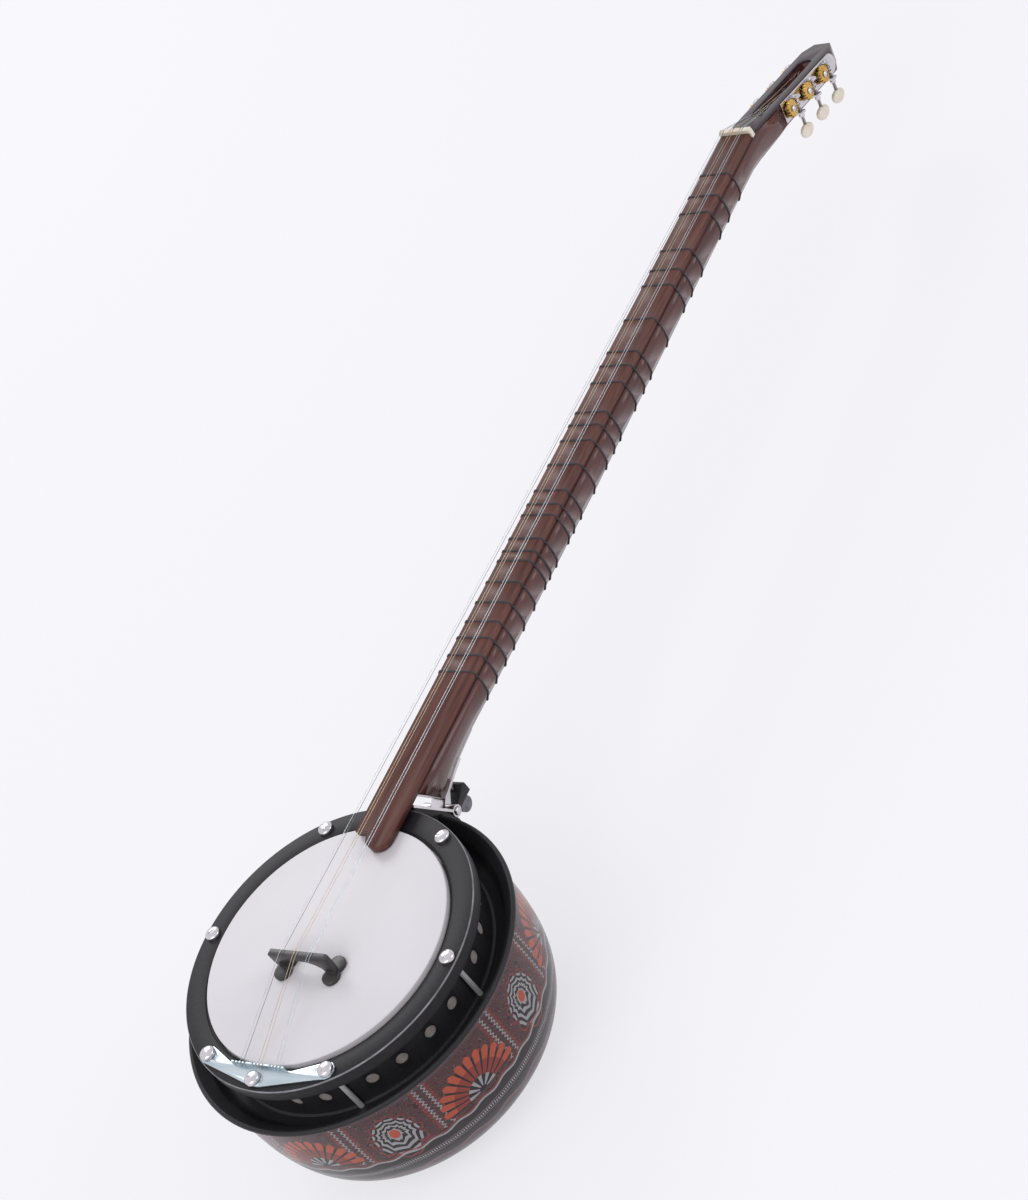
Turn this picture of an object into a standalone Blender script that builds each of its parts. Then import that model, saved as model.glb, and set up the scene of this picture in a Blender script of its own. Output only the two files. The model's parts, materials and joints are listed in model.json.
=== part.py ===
"""Long-necked metal-bodied lute: a spun bowl, a cast pot ring with a drum head, and a tilting fretted neck.

The instrument lies on its back. +Z leaves the face, +Y runs to the headstock and +X is the treble side.
The origin is the centre of the bowl's flat back. Sizes are in metres, and angles in degrees where the name says so.
"""

import math

import bmesh
import bpy
from mathutils import Matrix, Vector

GAP = 0.0003  # between pieces that seat on each other
STEPS = 36  # sides of the round body pieces

# Tension hoop, and the drum head that it pulls down
HOOP_TOP = 0.1500
HOOP_RADIUS = 0.1200
HOOP_HEIGHT = 0.0105
HOOP_PLATE = 0.0030
HOOP_WALL = 0.0025
HOOP_LIP_DEPTH = 0.0052
HOOP_LIP_WIDTH = 0.0030
HEAD_RADIUS = HOOP_RADIUS - 0.0199
HEAD_RISE = 0.0030
HEAD_THICKNESS = 0.0006
HEAD_TO_HOOP = 0.0009
FLESH_HOOP_HEIGHT = 0.0046

# Pot ring: bearing edge, wall with sound holes, gutter and rolled flange
BEARING_THICKNESS = 0.0030
SHELF_TOP = 0.1370
SHELF_THICKNESS = 0.0030
WALL_RADIUS = HOOP_RADIUS - 0.0100
WALL_THICKNESS = 0.0035
GUTTER_Z = 0.1048
GUTTER_THICKNESS = 0.0030
GUTTER_EDGE_RADIUS = HOOP_RADIUS + 0.0055
GUTTER_EDGE_Z = 0.1140
BEAD_RADIUS = 0.0022
FLANGE_RADIUS = HOOP_RADIUS + 0.0169
BEAD_Z = 0.1198
SPIGOT_DEPTH = 0.0080
SPIGOT_THICKNESS = 0.0020
SOUND_HOLE_RADIUS = 0.0048
SOUND_HOLE_Z = 0.1220
SOUND_HOLE_ANGLES = (-20.0, -7.0, 7.0, 20.0)  # from the middle between two bolts
SECTORS = 6

# Spun bowl
BOWL_RADIUS = FLANGE_RADIUS - 0.0072
BOWL_DEPTH = 0.1137
BOWL_WALL = 0.0012
BOWL_CUT_SHARE = 0.96  # the flat back cuts the bowl's curve at this part of its depth
BOWL_RINGS = 9

# Tension bolts
BOLT_CIRCLE = HOOP_RADIUS - 0.0075
BOLT_RADIUS = 0.0020
BOLT_HEAD_RADIUS = 0.0060
BOLT_HEAD_HEIGHT = 0.0040
BOLT_END_Z = 0.1010

# Tailpiece
TAIL_THICKNESS = 0.0016
TAIL_APEX_Y = -HOOP_RADIUS + 0.0030
TAIL_END_RADIUS = 0.0068
COMB_Y = -HOOP_RADIUS + 0.0182
COMB_HEIGHT = 0.0052
COMB_THICKNESS = 0.0014
COMB_SLOT = 0.0015
COMB_SLOT_PITCH = 0.0032
TAIL_SCREW_Y = -HOOP_RADIUS + 0.0082
TAIL_SCREW_X = -0.0040

# Bridge
BRIDGE_Y = -0.0220
BRIDGE_TOP = 0.1740
BRIDGE_HALF_LENGTH = 0.0274
BRIDGE_THICKNESS = 0.0050
BRIDGE_FOOT_X = 0.0230
BRIDGE_PAD_RADIUS = 0.0072
BRIDGE_PAD_OFFSET = 0.0050
BRIDGE_PAD_HEIGHT = 0.0032

# Fingerboard and neck
BOARD_START_Y = 0.0780
BOARD_Z_AT_HOOP = 0.16064
BOARD_SLOPE = -0.01316
BOARD_THICKNESS = 0.0070
BOARD_BEVEL = 0.0014
BODY_JOIN_Y = HOOP_RADIUS
BOARD_HALF_AT_JOIN = 0.01735
BOARD_HALF_AT_NUT = 0.01470
TONGUE_LEFT_X = -0.0042
TONGUE_LEFT_Y = 0.0915
TONGUE_TIP_LENGTH = 0.0110
NECK_OVERHANG = 0.0007
HEEL_TOP_Y = FLANGE_RADIUS - 0.0044
HEEL_BACK_Y = FLANGE_RADIUS + 0.0151
HEEL_BACK_Z = 0.1175

# Tied frets, placed by 53 commas to the octave
NUT_Y = 0.8119
STRING_LENGTH = 0.8339
FRET_COMMAS = (4.5, 7, 9, 13.5, 16, 18, 22.5, 27, 29, 31.5, 36, 38, 40.5,
               44.5, 49, 51.5, 53.5, 58, 60.5, 62.5, 67, 71.5, 76, 80, 84.5, 89)
FRET_HEIGHT = 0.0008
FRET_HALF_WIDTH = 0.0008

# Headstock: s runs along its face from the nut, c runs into the wood
HEAD_TILT_DEG = 15.0
HEAD_DROP = 0.0024
HEAD_HALF_WIDTH = 0.0144
HEAD_SHOULDER_HALF = 0.0156
HEAD_DEPTH = 0.0215
HEAD_LENGTH = 0.1630
HEAD_TAPER_S = 0.1500
HEAD_TIP_HALF = 0.0080
VENEER_THICKNESS = 0.0025
VENEER_START_S = 0.0065
SLOT_HALF_WIDTH = 0.0066
SLOT_START_S = 0.0330
SLOT_END_S = 0.1340
RECESS_START_S = 0.0450
CHEEK_TRIM = 0.0005  # left on the cheek's end for the recess to cut

# Nut
NUT_WIDTH = 0.0316
NUT_THICKNESS = 0.0042
NUT_HEIGHT = 0.0034
NUT_SLOT = 0.0014

# Tuners
TUNER_S = (0.0620, 0.0924, 0.1220)
TUNER_C = 0.0100
PLATE_START_S = 0.0530
PLATE_END_S = 0.1500
PLATE_TOP_C = 0.0008
PLATE_BOTTOM_C = 0.0192
PLATE_THICKNESS = 0.0010
GEAR_TEETH = 14
GEAR_TIP_RADIUS = 0.0076
GEAR_ROOT_RADIUS = 0.0062
GEAR_PITCH_RADIUS = 0.0070
GEAR_THICKNESS = 0.0030
GEAR_TIP_HALF = 0.00035
GEAR_ROOT_HALF = 0.00085
WORM_DISTANCE = 0.0096
WORM_CORE_RADIUS = 0.0018
WORM_THREAD_RADIUS = 0.00055
WORM_THREAD_CENTRE = 0.0024
WORM_TURNS = 2
WORM_POINTS = 6  # along each turn of the thread
LUG_C = (0.0031, 0.0178)
LUG_THICKNESS = 0.0022
LUG_HALF_WIDTH = 0.0034
WORM_SHAFT_RADIUS = 0.0016
ROLLER_SHAFT_RADIUS = 0.0024
ROLLER_RADIUS = 0.0040
ROLLER_CLEAR = 0.0005
STUD_RADIUS = 0.0018
GEAR_SCREW_RADIUS = 0.0030
BUTTON_C = 0.0360
BUTTON_HALF_SIZE = (0.0036, 0.0095, 0.00625)

# Hinge between neck and body, with its adjusting screw
PIN_Y = FLANGE_RADIUS + 0.0116
PIN_Z = 0.1080
PIN_RADIUS = 0.0025
KNUCKLE_RADIUS = 0.0048
STRAP_HALF_WIDTH = 0.0067
STRAP_THICKNESS = 0.0015
STRAP_END_Y = PIN_Y + 0.0635
STRAP_STEP_Y = PIN_Y + 0.0385
STRAP_RISE_Y = PIN_Y + 0.0277
STRAP_LOW_Y = PIN_Y + 0.0115
HINGE_HALF_WIDTH = 0.0155
RIM_PLATE_TOP = (HOOP_RADIUS + 0.0033, HOOP_TOP + 0.0006)
RIM_PLATE_THICKNESS = 0.0020
THUMB_Y = PIN_Y + 0.0195
THUMB_RADIUS = 0.0022
THUMB_DISC_RADIUS = 0.0065
THUMB_DISC_Z = 0.0885
ARM_BOTTOM_Z = 0.0990
LOCK_NUT_HEIGHT = 0.0030
LOCK_NUT_RADIUS = 0.0050
BRACKET_SCREW_X = 0.0070
BRACKET_SCREW_Z = 0.1260

# Strings, in three pairs
STRING_RADIUS = 0.0003
STRING_TAIL_X = (-0.0206, -0.0174, -0.0031, 0.0001, 0.0134, 0.0166)
STRING_BRIDGE_X = (-0.01535, -0.01265, -0.00195, 0.00075, 0.01165, 0.01435)
STRING_NUT_X = (-0.0136, -0.0108, -0.0041, -0.0012, 0.0057, 0.0084)
STRING_SLOT_X = (-0.0054, -0.0036, -0.0015, 0.0015, 0.0036, 0.0054)
STRING_TUNERS = (("left", 0), ("left", 1), ("left", 2), ("right", 2), ("right", 1), ("right", 0))
STRING_HEIGHT_AT_NUT = 0.0025
WINDING_TURNS = 1.5
WINDING_PITCH = 0.0011
WINDING_POINTS = 16

# Values that follow from the ones above
BEARING_RADIUS = HEAD_RADIUS - HEAD_THICKNESS - GAP
BEARING_TOP = HOOP_TOP + HEAD_RISE - HEAD_THICKNESS - GAP
HOOP_INNER = HEAD_RADIUS + HEAD_TO_HOOP
HOOP_LIP_OUTER = HOOP_INNER + HOOP_LIP_WIDTH
HOOP_LIP_Z = HOOP_TOP - HOOP_LIP_DEPTH
FLESH_TOP = HOOP_LIP_Z - GAP
FLESH_BOTTOM = FLESH_TOP - FLESH_HOOP_HEIGHT
BOWL_SEAT = BOWL_DEPTH + GAP
SPIGOT_RADIUS = BOWL_RADIUS - BOWL_WALL - GAP
TAIL_BOTTOM = HOOP_TOP + GAP
TAIL_TOP = TAIL_BOTTOM + TAIL_THICKNESS
GEAR_X = HEAD_HALF_WIDTH + GAP + PLATE_THICKNESS + 0.0034
WORM_PITCH = 2 * math.pi * GEAR_PITCH_RADIUS / GEAR_TEETH


def clear_scene():
    for item in list(bpy.data.objects):
        bpy.data.objects.remove(item)


clear_scene()
PARTS = bpy.data.collections.new("cumbus")
CUTTERS = bpy.data.collections.new("cutters")
bpy.context.scene.collection.children.link(PARTS)
bpy.context.scene.collection.children.link(CUTTERS)
CUTTERS.hide_render = True


def material(name, colour, roughness, metallic=0.0):
    made = bpy.data.materials.new(name)
    made.use_nodes = True
    shader = made.node_tree.nodes["Principled BSDF"]
    shader.inputs["Base Color"].default_value = (*colour, 1)
    shader.inputs["Roughness"].default_value = roughness
    shader.inputs["Metallic"].default_value = metallic
    return made


CHROME = material("chrome", (0.82, 0.80, 0.82), 0.15, 1.0)
STEEL = material("steel", (0.62, 0.70, 0.74), 0.35, 1.0)
BRASS = material("brass", (0.78, 0.52, 0.16), 0.3, 1.0)
BLACK_CASTING = material("black_casting", (0.02, 0.02, 0.022), 0.55)
CHARCOAL = material("charcoal_paint", (0.05, 0.045, 0.05), 0.4)
PRINTED_SHELL = material("printed_shell", (0.16, 0.10, 0.10), 0.3)
SKIN = material("skin", (0.80, 0.77, 0.80), 0.5)
MAHOGANY = material("mahogany", (0.20, 0.07, 0.06), 0.35)
ROSEWOOD = material("rosewood", (0.17, 0.06, 0.05), 0.4)
EBONY = material("ebony", (0.02, 0.018, 0.018), 0.45)
CREAM = material("cream", (0.80, 0.70, 0.50), 0.4)
DARK_STEEL = material("dark_steel", (0.2, 0.2, 0.22), 0.4, 1.0)


def place(item, collection, parent=None, at=(0, 0, 0), turn=(0, 0, 0)):
    collection.objects.link(item)
    item.parent = parent
    item.location = at
    item.rotation_euler = turn
    if collection is CUTTERS:
        item.hide_render = True
        item.display_type = "WIRE"
    return item


def mesh_item(name, mesh, surface, collection=PARTS, **where):
    if surface and not mesh.materials:
        mesh.materials.append(surface)
    return place(bpy.data.objects.new(name, mesh), collection, **where)


def smooth(item, angle_deg=35):
    item.data.shade_smooth()
    item.data.set_sharp_from_angle(angle=math.radians(angle_deg))


def turned(name, profile, surface, steps=STEPS, closed=True, collection=PARTS, **where):
    """A profile of (radius, z) points, clockwise with z up, turned about Z."""
    mesh = bpy.data.meshes.new(name)
    count = len(profile)
    edges = [(i, i + 1) for i in range(count - 1)]
    if closed:
        edges.append((count - 1, 0))
    mesh.from_pydata([(r, 0, z) for r, z in profile], edges, [])
    item = mesh_item(name, mesh, surface, collection, **where)
    screw = item.modifiers.new("turn", "SCREW")
    screw.steps = steps
    screw.render_steps = steps
    screw.use_merge_vertices = True
    screw.merge_threshold = 0.00002
    return item


def pin_solid(name, radius, low, high, surface=None, steps=16, collection=CUTTERS, **where):
    return turned(name, [(0, high), (radius, high), (radius, low), (0, low)], surface, steps, False,
                  collection, **where)


def box(name, low, high, surface=None, collection=CUTTERS, **where):
    mesh = bpy.data.meshes.new(name)
    form = bmesh.new()
    bmesh.ops.create_cube(form, size=1)
    size = [b - a for a, b in zip(low, high)]
    middle = Vector([(a + b) / 2 for a, b in zip(low, high)])
    bmesh.ops.scale(form, vec=size, verts=form.verts)
    bmesh.ops.translate(form, vec=middle, verts=form.verts)
    form.to_mesh(mesh)
    form.free()
    return mesh_item(name, mesh, surface, collection, **where)


def as_mesh(item):
    """The item as the viewport shows it, its modifiers and curve turned into a plain welded mesh."""
    bpy.context.view_layer.update()
    shown = item.evaluated_get(bpy.context.evaluated_depsgraph_get())
    mesh = bpy.data.meshes.new_from_object(shown)
    form = bmesh.new()
    form.from_mesh(mesh)
    bmesh.ops.remove_doubles(form, verts=form.verts, dist=0.000005)
    form.to_mesh(mesh)
    form.free()
    mesh.name = item.name
    return mesh


def plain(item):
    """Replaces an item by its welded mesh, at the same place."""
    name, matrix, home = item.name, item.matrix_world.copy(), item.users_collection[0]
    mesh = as_mesh(item)
    matrix = item.matrix_world.copy()
    bpy.data.objects.remove(item)
    made = mesh_item(name, mesh, None, home)
    made.matrix_world = matrix
    return made


def outline(name, splines, low, high, surface=None, collection=PARTS, **where):
    """A flat outline in the local XY plane, filled and raised from low to high along Z."""
    curve = bpy.data.curves.new(name, "CURVE")
    curve.dimensions = "2D"
    curve.fill_mode = "BOTH"
    curve.extrude = (high - low) / 2
    for points in splines:
        spline = curve.splines.new("POLY")
        spline.points.add(len(points) - 1)
        for point, (x, y) in zip(spline.points, points):
            point.co = (x, y, 0, 1)
        spline.use_cyclic_u = True
    item = bpy.data.objects.new(name, curve)
    place(item, collection, **where)
    bpy.context.view_layer.update()
    mesh = as_mesh(item)
    mesh.transform(Matrix.Translation((0, 0, (low + high) / 2)))
    bpy.data.objects.remove(item)
    return mesh_item(name, mesh, surface, collection, **where)


def tube(name, points, radius, surface, resolution=1, **where):
    curve = bpy.data.curves.new(name, "CURVE")
    curve.dimensions = "3D"
    curve.bevel_depth = radius
    curve.bevel_resolution = resolution
    curve.use_fill_caps = True
    spline = curve.splines.new("POLY")
    spline.points.add(len(points) - 1)
    for point, co in zip(spline.points, points):
        point.co = (*co, 1)
    if surface:
        curve.materials.append(surface)
    return place(bpy.data.objects.new(name, curve), PARTS, **where)


def loft(name, rings, surface):
    """Skins rings of equal point counts and closes both ends."""
    mesh = bpy.data.meshes.new(name)
    form = bmesh.new()
    rows = [[form.verts.new(point) for point in ring] for ring in rings]
    for one, two in zip(rows, rows[1:]):
        for i in range(len(one)):
            j = (i + 1) % len(one)
            form.faces.new((one[i], one[j], two[j], two[i]))
    form.faces.new(rows[0])
    form.faces.new(rows[-1])
    bmesh.ops.recalc_face_normals(form, faces=form.faces)
    form.to_mesh(mesh)
    form.free()
    return mesh_item(name, mesh, surface)


def combine(item, other, operation="DIFFERENCE"):
    step = item.modifiers.new(other.name, "BOOLEAN")
    step.operation = operation
    step.solver = "EXACT"
    step.object = other
    return item


def merge(item, other):
    """Joins another solid to the item and leaves the other among the cutters."""
    combine(item, other, "UNION")
    for home in list(other.users_collection):
        home.objects.unlink(other)
    CUTTERS.objects.link(other)
    other.hide_render = True
    other.display_type = "WIRE"
    return item


def polar(radius, angle_deg):
    angle = math.radians(angle_deg)
    return radius * math.cos(angle), radius * math.sin(angle)


def arc(centre, radius, start_deg, end_deg, count):
    """Points on a circle, both ends included."""
    found = []
    for i in range(count):
        x, y = polar(radius, start_deg + (end_deg - start_deg) * i / (count - 1))
        found.append((centre[0] + x, centre[1] + y))
    return found


# Round body pieces
def bowl_profile():
    """Rim to flat back: a superellipse that the back cuts before its pole."""
    last = math.asin(BOWL_CUT_SHARE ** 2)
    points = []
    for i in range(BOWL_RINGS + 1):
        angle = last * i / BOWL_RINGS
        depth = math.sqrt(math.sin(angle)) / BOWL_CUT_SHARE
        points.append((BOWL_RADIUS * math.cos(angle) ** 0.53, BOWL_DEPTH * (1 - depth)))
    return points + [(0, 0)]


def make_bowl():
    bowl = turned("resonator_bowl", bowl_profile(), PRINTED_SHELL, closed=False)
    shell = bowl.modifiers.new("shell", "SOLIDIFY")
    shell.thickness = BOWL_WALL
    shell.offset = -1
    shell.use_even_offset = True


def gutter_line(lift=0.0):
    """The ring's upper surface from the wall's foot out to the flange's bead."""
    return [
        (WALL_RADIUS + lift, GUTTER_Z + 0.0025 + lift),
        (WALL_RADIUS + 0.0025 + lift, GUTTER_Z + lift),
        (GUTTER_EDGE_RADIUS - 0.0068, GUTTER_Z + 0.0010 + lift),
        (GUTTER_EDGE_RADIUS - 0.0028 - lift, GUTTER_Z + 0.0042 + lift),
        (GUTTER_EDGE_RADIUS - lift, GUTTER_EDGE_Z + lift),
        (GUTTER_EDGE_RADIUS + 0.0008 - lift, GUTTER_EDGE_Z + 0.0010 + lift),
    ]


def bead(grow=0.0, first=130, last=-130, count=6):
    return arc((FLANGE_RADIUS - BEAD_RADIUS, BEAD_Z), BEAD_RADIUS + grow, first, last, count)


def pot_ring_profile():
    inner = BEARING_RADIUS - BEARING_THICKNESS
    wall_inner = WALL_RADIUS - WALL_THICKNESS
    under = GUTTER_Z - GUTTER_THICKNESS
    spigot_inner = SPIGOT_RADIUS - SPIGOT_THICKNESS
    return [
        (inner, BEARING_TOP - 0.001),
        (inner + 0.001, BEARING_TOP),
        (BEARING_RADIUS - 0.001, BEARING_TOP),
        (BEARING_RADIUS, BEARING_TOP - 0.001),
        (BEARING_RADIUS, SHELF_TOP),
        (WALL_RADIUS - 0.001, SHELF_TOP),
        (WALL_RADIUS, SHELF_TOP - 0.001),
        *gutter_line(),
        *bead(),
        (BOWL_RADIUS + 0.0005, BOWL_SEAT),
        (SPIGOT_RADIUS, BOWL_SEAT),
        (SPIGOT_RADIUS, BOWL_SEAT - SPIGOT_DEPTH),
        (spigot_inner, BOWL_SEAT - SPIGOT_DEPTH),
        (spigot_inner - 0.0006, GUTTER_Z + 0.0030),
        (GUTTER_EDGE_RADIUS - 0.0050, under + 0.0014),
        (WALL_RADIUS + 0.0020, under),
        (wall_inner + 0.0010, under),
        (wall_inner, under + 0.0020),
        (wall_inner, SHELF_TOP - SHELF_THICKNESS),
        (inner, SHELF_TOP - SHELF_THICKNESS),
    ]


def make_pot_ring():
    ring = turned("pot_ring", pot_ring_profile(), BLACK_CASTING)
    for name, spin, radius in sound_holes():
        hole = pin_solid(name, radius, WALL_RADIUS - 0.008, WALL_RADIUS + 0.004, steps=8,
                         at=(0, 0, SOUND_HOLE_Z), turn=(0, math.radians(90), math.radians(spin)))
        combine(ring, hole)
    for i in range(SECTORS):
        x, y = polar(BOLT_CIRCLE, 60 * i)
        combine(ring, pin_solid(f"ring_bolt_hole_{i}", BOLT_RADIUS + GAP, GUTTER_Z - 0.01, GUTTER_Z + 0.01,
                                steps=8, at=(x, y, 0)))
    for side in (-1, 1):
        combine(ring, bracket_screw_hole(side, "ring"))
    smooth(ring)


def sound_holes():
    """The wall's holes: all but the two that the neck bracket would cover."""
    found = []
    for sector in range(SECTORS):
        for offset in SOUND_HOLE_ANGLES:
            angle = 30 + 60 * sector + offset
            if abs(angle - 90) > 10:
                found.append((f"sound_hole_{len(found)}", angle, SOUND_HOLE_RADIUS))
    return found


def bracket_screw_hole(side, owner):
    return pin_solid(f"{owner}_screw_hole_{side}", THUMB_RADIUS + GAP, WALL_RADIUS - 0.0120, WALL_RADIUS + 0.0085, steps=8,
                     at=(side * BRACKET_SCREW_X, 0, BRACKET_SCREW_Z), turn=(math.radians(-90), 0, 0))


def make_head():
    inner = HEAD_RADIUS - HEAD_THICKNESS
    top = HOOP_TOP + HEAD_RISE
    foot = FLESH_BOTTOM - GAP
    profile = [
        (0, top),
        (HEAD_RADIUS - 0.0006, top),
        (HEAD_RADIUS, top - 0.0006),
        (HEAD_RADIUS, foot),
        (HOOP_LIP_OUTER - GAP, foot),
        (HOOP_LIP_OUTER - GAP, foot - HEAD_THICKNESS),
        (inner, foot - HEAD_THICKNESS),
        (inner, top - HEAD_THICKNESS),
        (0, top - HEAD_THICKNESS),
    ]
    smooth(turned("drum_head", profile, SKIN, closed=False))
    flesh = [
        (HEAD_RADIUS + GAP, FLESH_TOP),
        (HOOP_LIP_OUTER, FLESH_TOP),
        (HOOP_LIP_OUTER, FLESH_BOTTOM),
        (HEAD_RADIUS + GAP, FLESH_BOTTOM),
    ]
    turned("flesh_hoop", flesh, DARK_STEEL)


def make_hoop():
    bottom = HOOP_TOP - HOOP_HEIGHT
    plate = HOOP_TOP - HOOP_PLATE
    profile = [
        (HOOP_INNER, HOOP_LIP_Z),
        (HOOP_INNER, HOOP_TOP - 0.0014),
        (HOOP_INNER + 0.0018, HOOP_TOP - 0.0007),
        (HOOP_INNER + 0.0022, HOOP_TOP),
        (HOOP_RADIUS - 0.0007, HOOP_TOP),
        (HOOP_RADIUS, HOOP_TOP - 0.0007),
        (HOOP_RADIUS, bottom),
        (HOOP_RADIUS - HOOP_WALL, bottom),
        (HOOP_RADIUS - HOOP_WALL, plate),
        (HOOP_LIP_OUTER, plate),
        (HOOP_LIP_OUTER, HOOP_LIP_Z),
    ]
    hoop = turned("tension_hoop", profile, CHARCOAL)
    for name, (x, y), under, end in bolts():
        combine(hoop, pin_solid(f"hoop_{name}_hole", BOLT_RADIUS + GAP, plate - 0.002, HOOP_TOP + 0.002,
                                steps=8, at=(x, y, 0), turn=(0, 0, math.radians(11))))
    smooth(hoop)


def bolts():
    """Name, place, underside of the head and end of each bolt: six on the circle, one in the tailpiece."""
    found = []
    for i in range(SECTORS):
        angle = 60 * i
        under = TAIL_TOP + GAP if angle in (240, 300) else HOOP_TOP + GAP
        found.append((f"tension_bolt_{i + 1}", polar(BOLT_CIRCLE, angle), under, BOLT_END_Z))
    middle = HOOP_TOP - HOOP_PLATE - 0.003
    found.append(("tension_bolt_7", (TAIL_SCREW_X, TAIL_SCREW_Y), TAIL_TOP + GAP, middle))
    return found


def make_bolts():
    for name, (x, y), under, end in bolts():
        top = under + BOLT_HEAD_HEIGHT
        profile = [
            (0, top),
            (BOLT_HEAD_RADIUS * 0.6, top - 0.0004),
            (BOLT_HEAD_RADIUS, top - 0.0016),
            (BOLT_HEAD_RADIUS, under),
            (BOLT_RADIUS, under),
            (BOLT_RADIUS, end),
            (0, end),
        ]
        smooth(turned(name, profile, CHROME, 10, False, at=(x, y, 0)))


# Tailpiece and bridge
def tailpiece_outline():
    """A chevron strip, clockwise from its left end: straight inner edge, bolt ends, bent outer edge."""
    right = polar(BOLT_CIRCLE, 300)
    left = polar(BOLT_CIRCLE, 240)
    inner = COMB_Y
    half = (STRING_TAIL_X[-1] - STRING_TAIL_X[0]) / 2 + 3 * COMB_SLOT_PITCH
    middle = (STRING_TAIL_X[-1] + STRING_TAIL_X[0]) / 2
    points = [(middle - half, inner), (middle + half, inner)]
    points += arc(right, TAIL_END_RADIUS, 105, -75, 6)
    points += [(0.004, TAIL_APEX_Y), (-0.004, TAIL_APEX_Y)]
    points += arc(left, TAIL_END_RADIUS, 255, 75, 6)
    return points


def comb_outline():
    """The upright comb: a strip with a slot for each string and one more beside each pair."""
    base, top = TAIL_BOTTOM + 0.0004, TAIL_TOP + COMB_HEIGHT
    floor = TAIL_TOP + 0.0010
    slots = []
    for pair in range(3):
        middle = (STRING_TAIL_X[2 * pair] + STRING_TAIL_X[2 * pair + 1]) / 2
        slots += [middle + COMB_SLOT_PITCH * k for k in (-1.5, -0.5, 0.5, 1.5)]
    points = [(slots[0] - COMB_SLOT_PITCH, base), (slots[0] - COMB_SLOT_PITCH, top)]
    for x in slots:
        points += [(x - COMB_SLOT / 2, top), (x - COMB_SLOT / 2, floor),
                   (x + COMB_SLOT / 2, floor), (x + COMB_SLOT / 2, top)]
    return points + [(slots[-1] + COMB_SLOT_PITCH, top), (slots[-1] + COMB_SLOT_PITCH, base)]


def make_tailpiece():
    strip = outline("tailpiece", [tailpiece_outline()], TAIL_BOTTOM, TAIL_TOP, STEEL)
    comb = outline("tail_comb", [comb_outline()], 0, COMB_THICKNESS, STEEL, CUTTERS,
                   at=(0, COMB_Y - 0.0001, 0), turn=(math.radians(90), 0, 0))
    combine(strip, comb, "UNION")
    for name, (x, y), under, end in bolts():
        if under > HOOP_TOP + TAIL_THICKNESS:
            combine(strip, pin_solid(f"tail_{name}_hole", BOLT_RADIUS + GAP, HOOP_TOP - 0.001,
                                     TAIL_TOP + 0.001, steps=8, at=(x, y, 0)))


def make_bridge():
    skin_top = HOOP_TOP + HEAD_RISE
    pad_bottom = skin_top + GAP
    pad_top = pad_bottom + BRIDGE_PAD_HEIGHT
    foot_low = pad_bottom + BRIDGE_PAD_HEIGHT / 2
    half = BRIDGE_HALF_LENGTH
    top = BRIDGE_TOP - STRING_RADIUS - GAP
    points = [(-half, top - 0.0012), (-half + 0.0012, top), (half - 0.0012, top), (half, top - 0.0012)]
    points += [(half, top - 0.0090), (BRIDGE_FOOT_X + 0.0030, foot_low), (BRIDGE_FOOT_X - 0.0030, foot_low)]
    for i in range(9):
        angle = math.radians(180 * i / 8)
        points.append((0.0175 * math.cos(angle), pad_top + 0.0110 * math.sin(angle)))
    points += [(-BRIDGE_FOOT_X + 0.0030, foot_low), (-BRIDGE_FOOT_X - 0.0030, foot_low), (-half, top - 0.0090)]
    bridge = outline("bridge", [points], -BRIDGE_THICKNESS / 2, BRIDGE_THICKNESS / 2, EBONY,
                     at=(0, BRIDGE_Y, 0), turn=(math.radians(90), 0, 0))
    for side in (-1, 1):
        for end in (-1, 1):
            pad = pin_solid(f"bridge_pad_{side}_{end}", BRIDGE_PAD_RADIUS, pad_bottom, pad_top, EBONY, 12,
                            at=(side * BRIDGE_FOOT_X, BRIDGE_Y + end * BRIDGE_PAD_OFFSET, 0))
            combine(bridge, pad, "UNION")


# Fingerboard and neck
def board_z(y):
    return BOARD_Z_AT_HOOP + BOARD_SLOPE * (y - BODY_JOIN_Y)


def board_half(y):
    share = (y - BODY_JOIN_Y) / (NUT_Y - BODY_JOIN_Y)
    return BOARD_HALF_AT_JOIN + (BOARD_HALF_AT_NUT - BOARD_HALF_AT_JOIN) * share


def fret_y():
    return sorted(NUT_Y - STRING_LENGTH * (1 - 2 ** (-comma / 53)) for comma in FRET_COMMAS)


def with_frets(stations):
    """Stations along the neck with three more at each fret, the middle one raised."""
    found = [(y, 0.0) for y in stations]
    for y in fret_y():
        found += [(y - FRET_HALF_WIDTH, 0.0), (y, FRET_HEIGHT), (y + FRET_HALF_WIDTH, 0.0)]
    return sorted(found)


def board_ring(y, raised):
    half, top = board_half(y), board_z(y)
    low = top - BOARD_THICKNESS
    side = half + raised
    return [
        (-side, y, low), (-side, y, top - BOARD_BEVEL), (-half + BOARD_BEVEL, y, top + raised),
        (half - BOARD_BEVEL, y, top + raised), (side, y, top - BOARD_BEVEL), (side, y, low),
    ]


def make_fingerboard():
    rings = [board_ring(y, raised) for y, raised in with_frets([BOARD_START_Y, NUT_Y - GAP])]
    board = loft("fingerboard", rings, ROSEWOOD)
    right = board_half(BOARD_START_Y)
    middle, half = (right + TONGUE_LEFT_X) / 2, (right - TONGUE_LEFT_X) / 2
    rounded = [(middle + half * math.cos(math.radians(a)),
                BOARD_START_Y + TONGUE_TIP_LENGTH * (1 - math.sin(math.radians(a)))) for a in range(0, 181, 20)]
    outside = BOARD_START_Y - 0.01
    points = [(-0.03, outside), (0.03, outside), (0.03, rounded[0][1]), *rounded,
              (TONGUE_LEFT_X, TONGUE_LEFT_Y), (-0.03, TONGUE_LEFT_Y)]
    cutter = outline("tongue_cutter", [points], HOOP_TOP, HOOP_TOP + 0.03, None, CUTTERS)
    combine(board, cutter)


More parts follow.
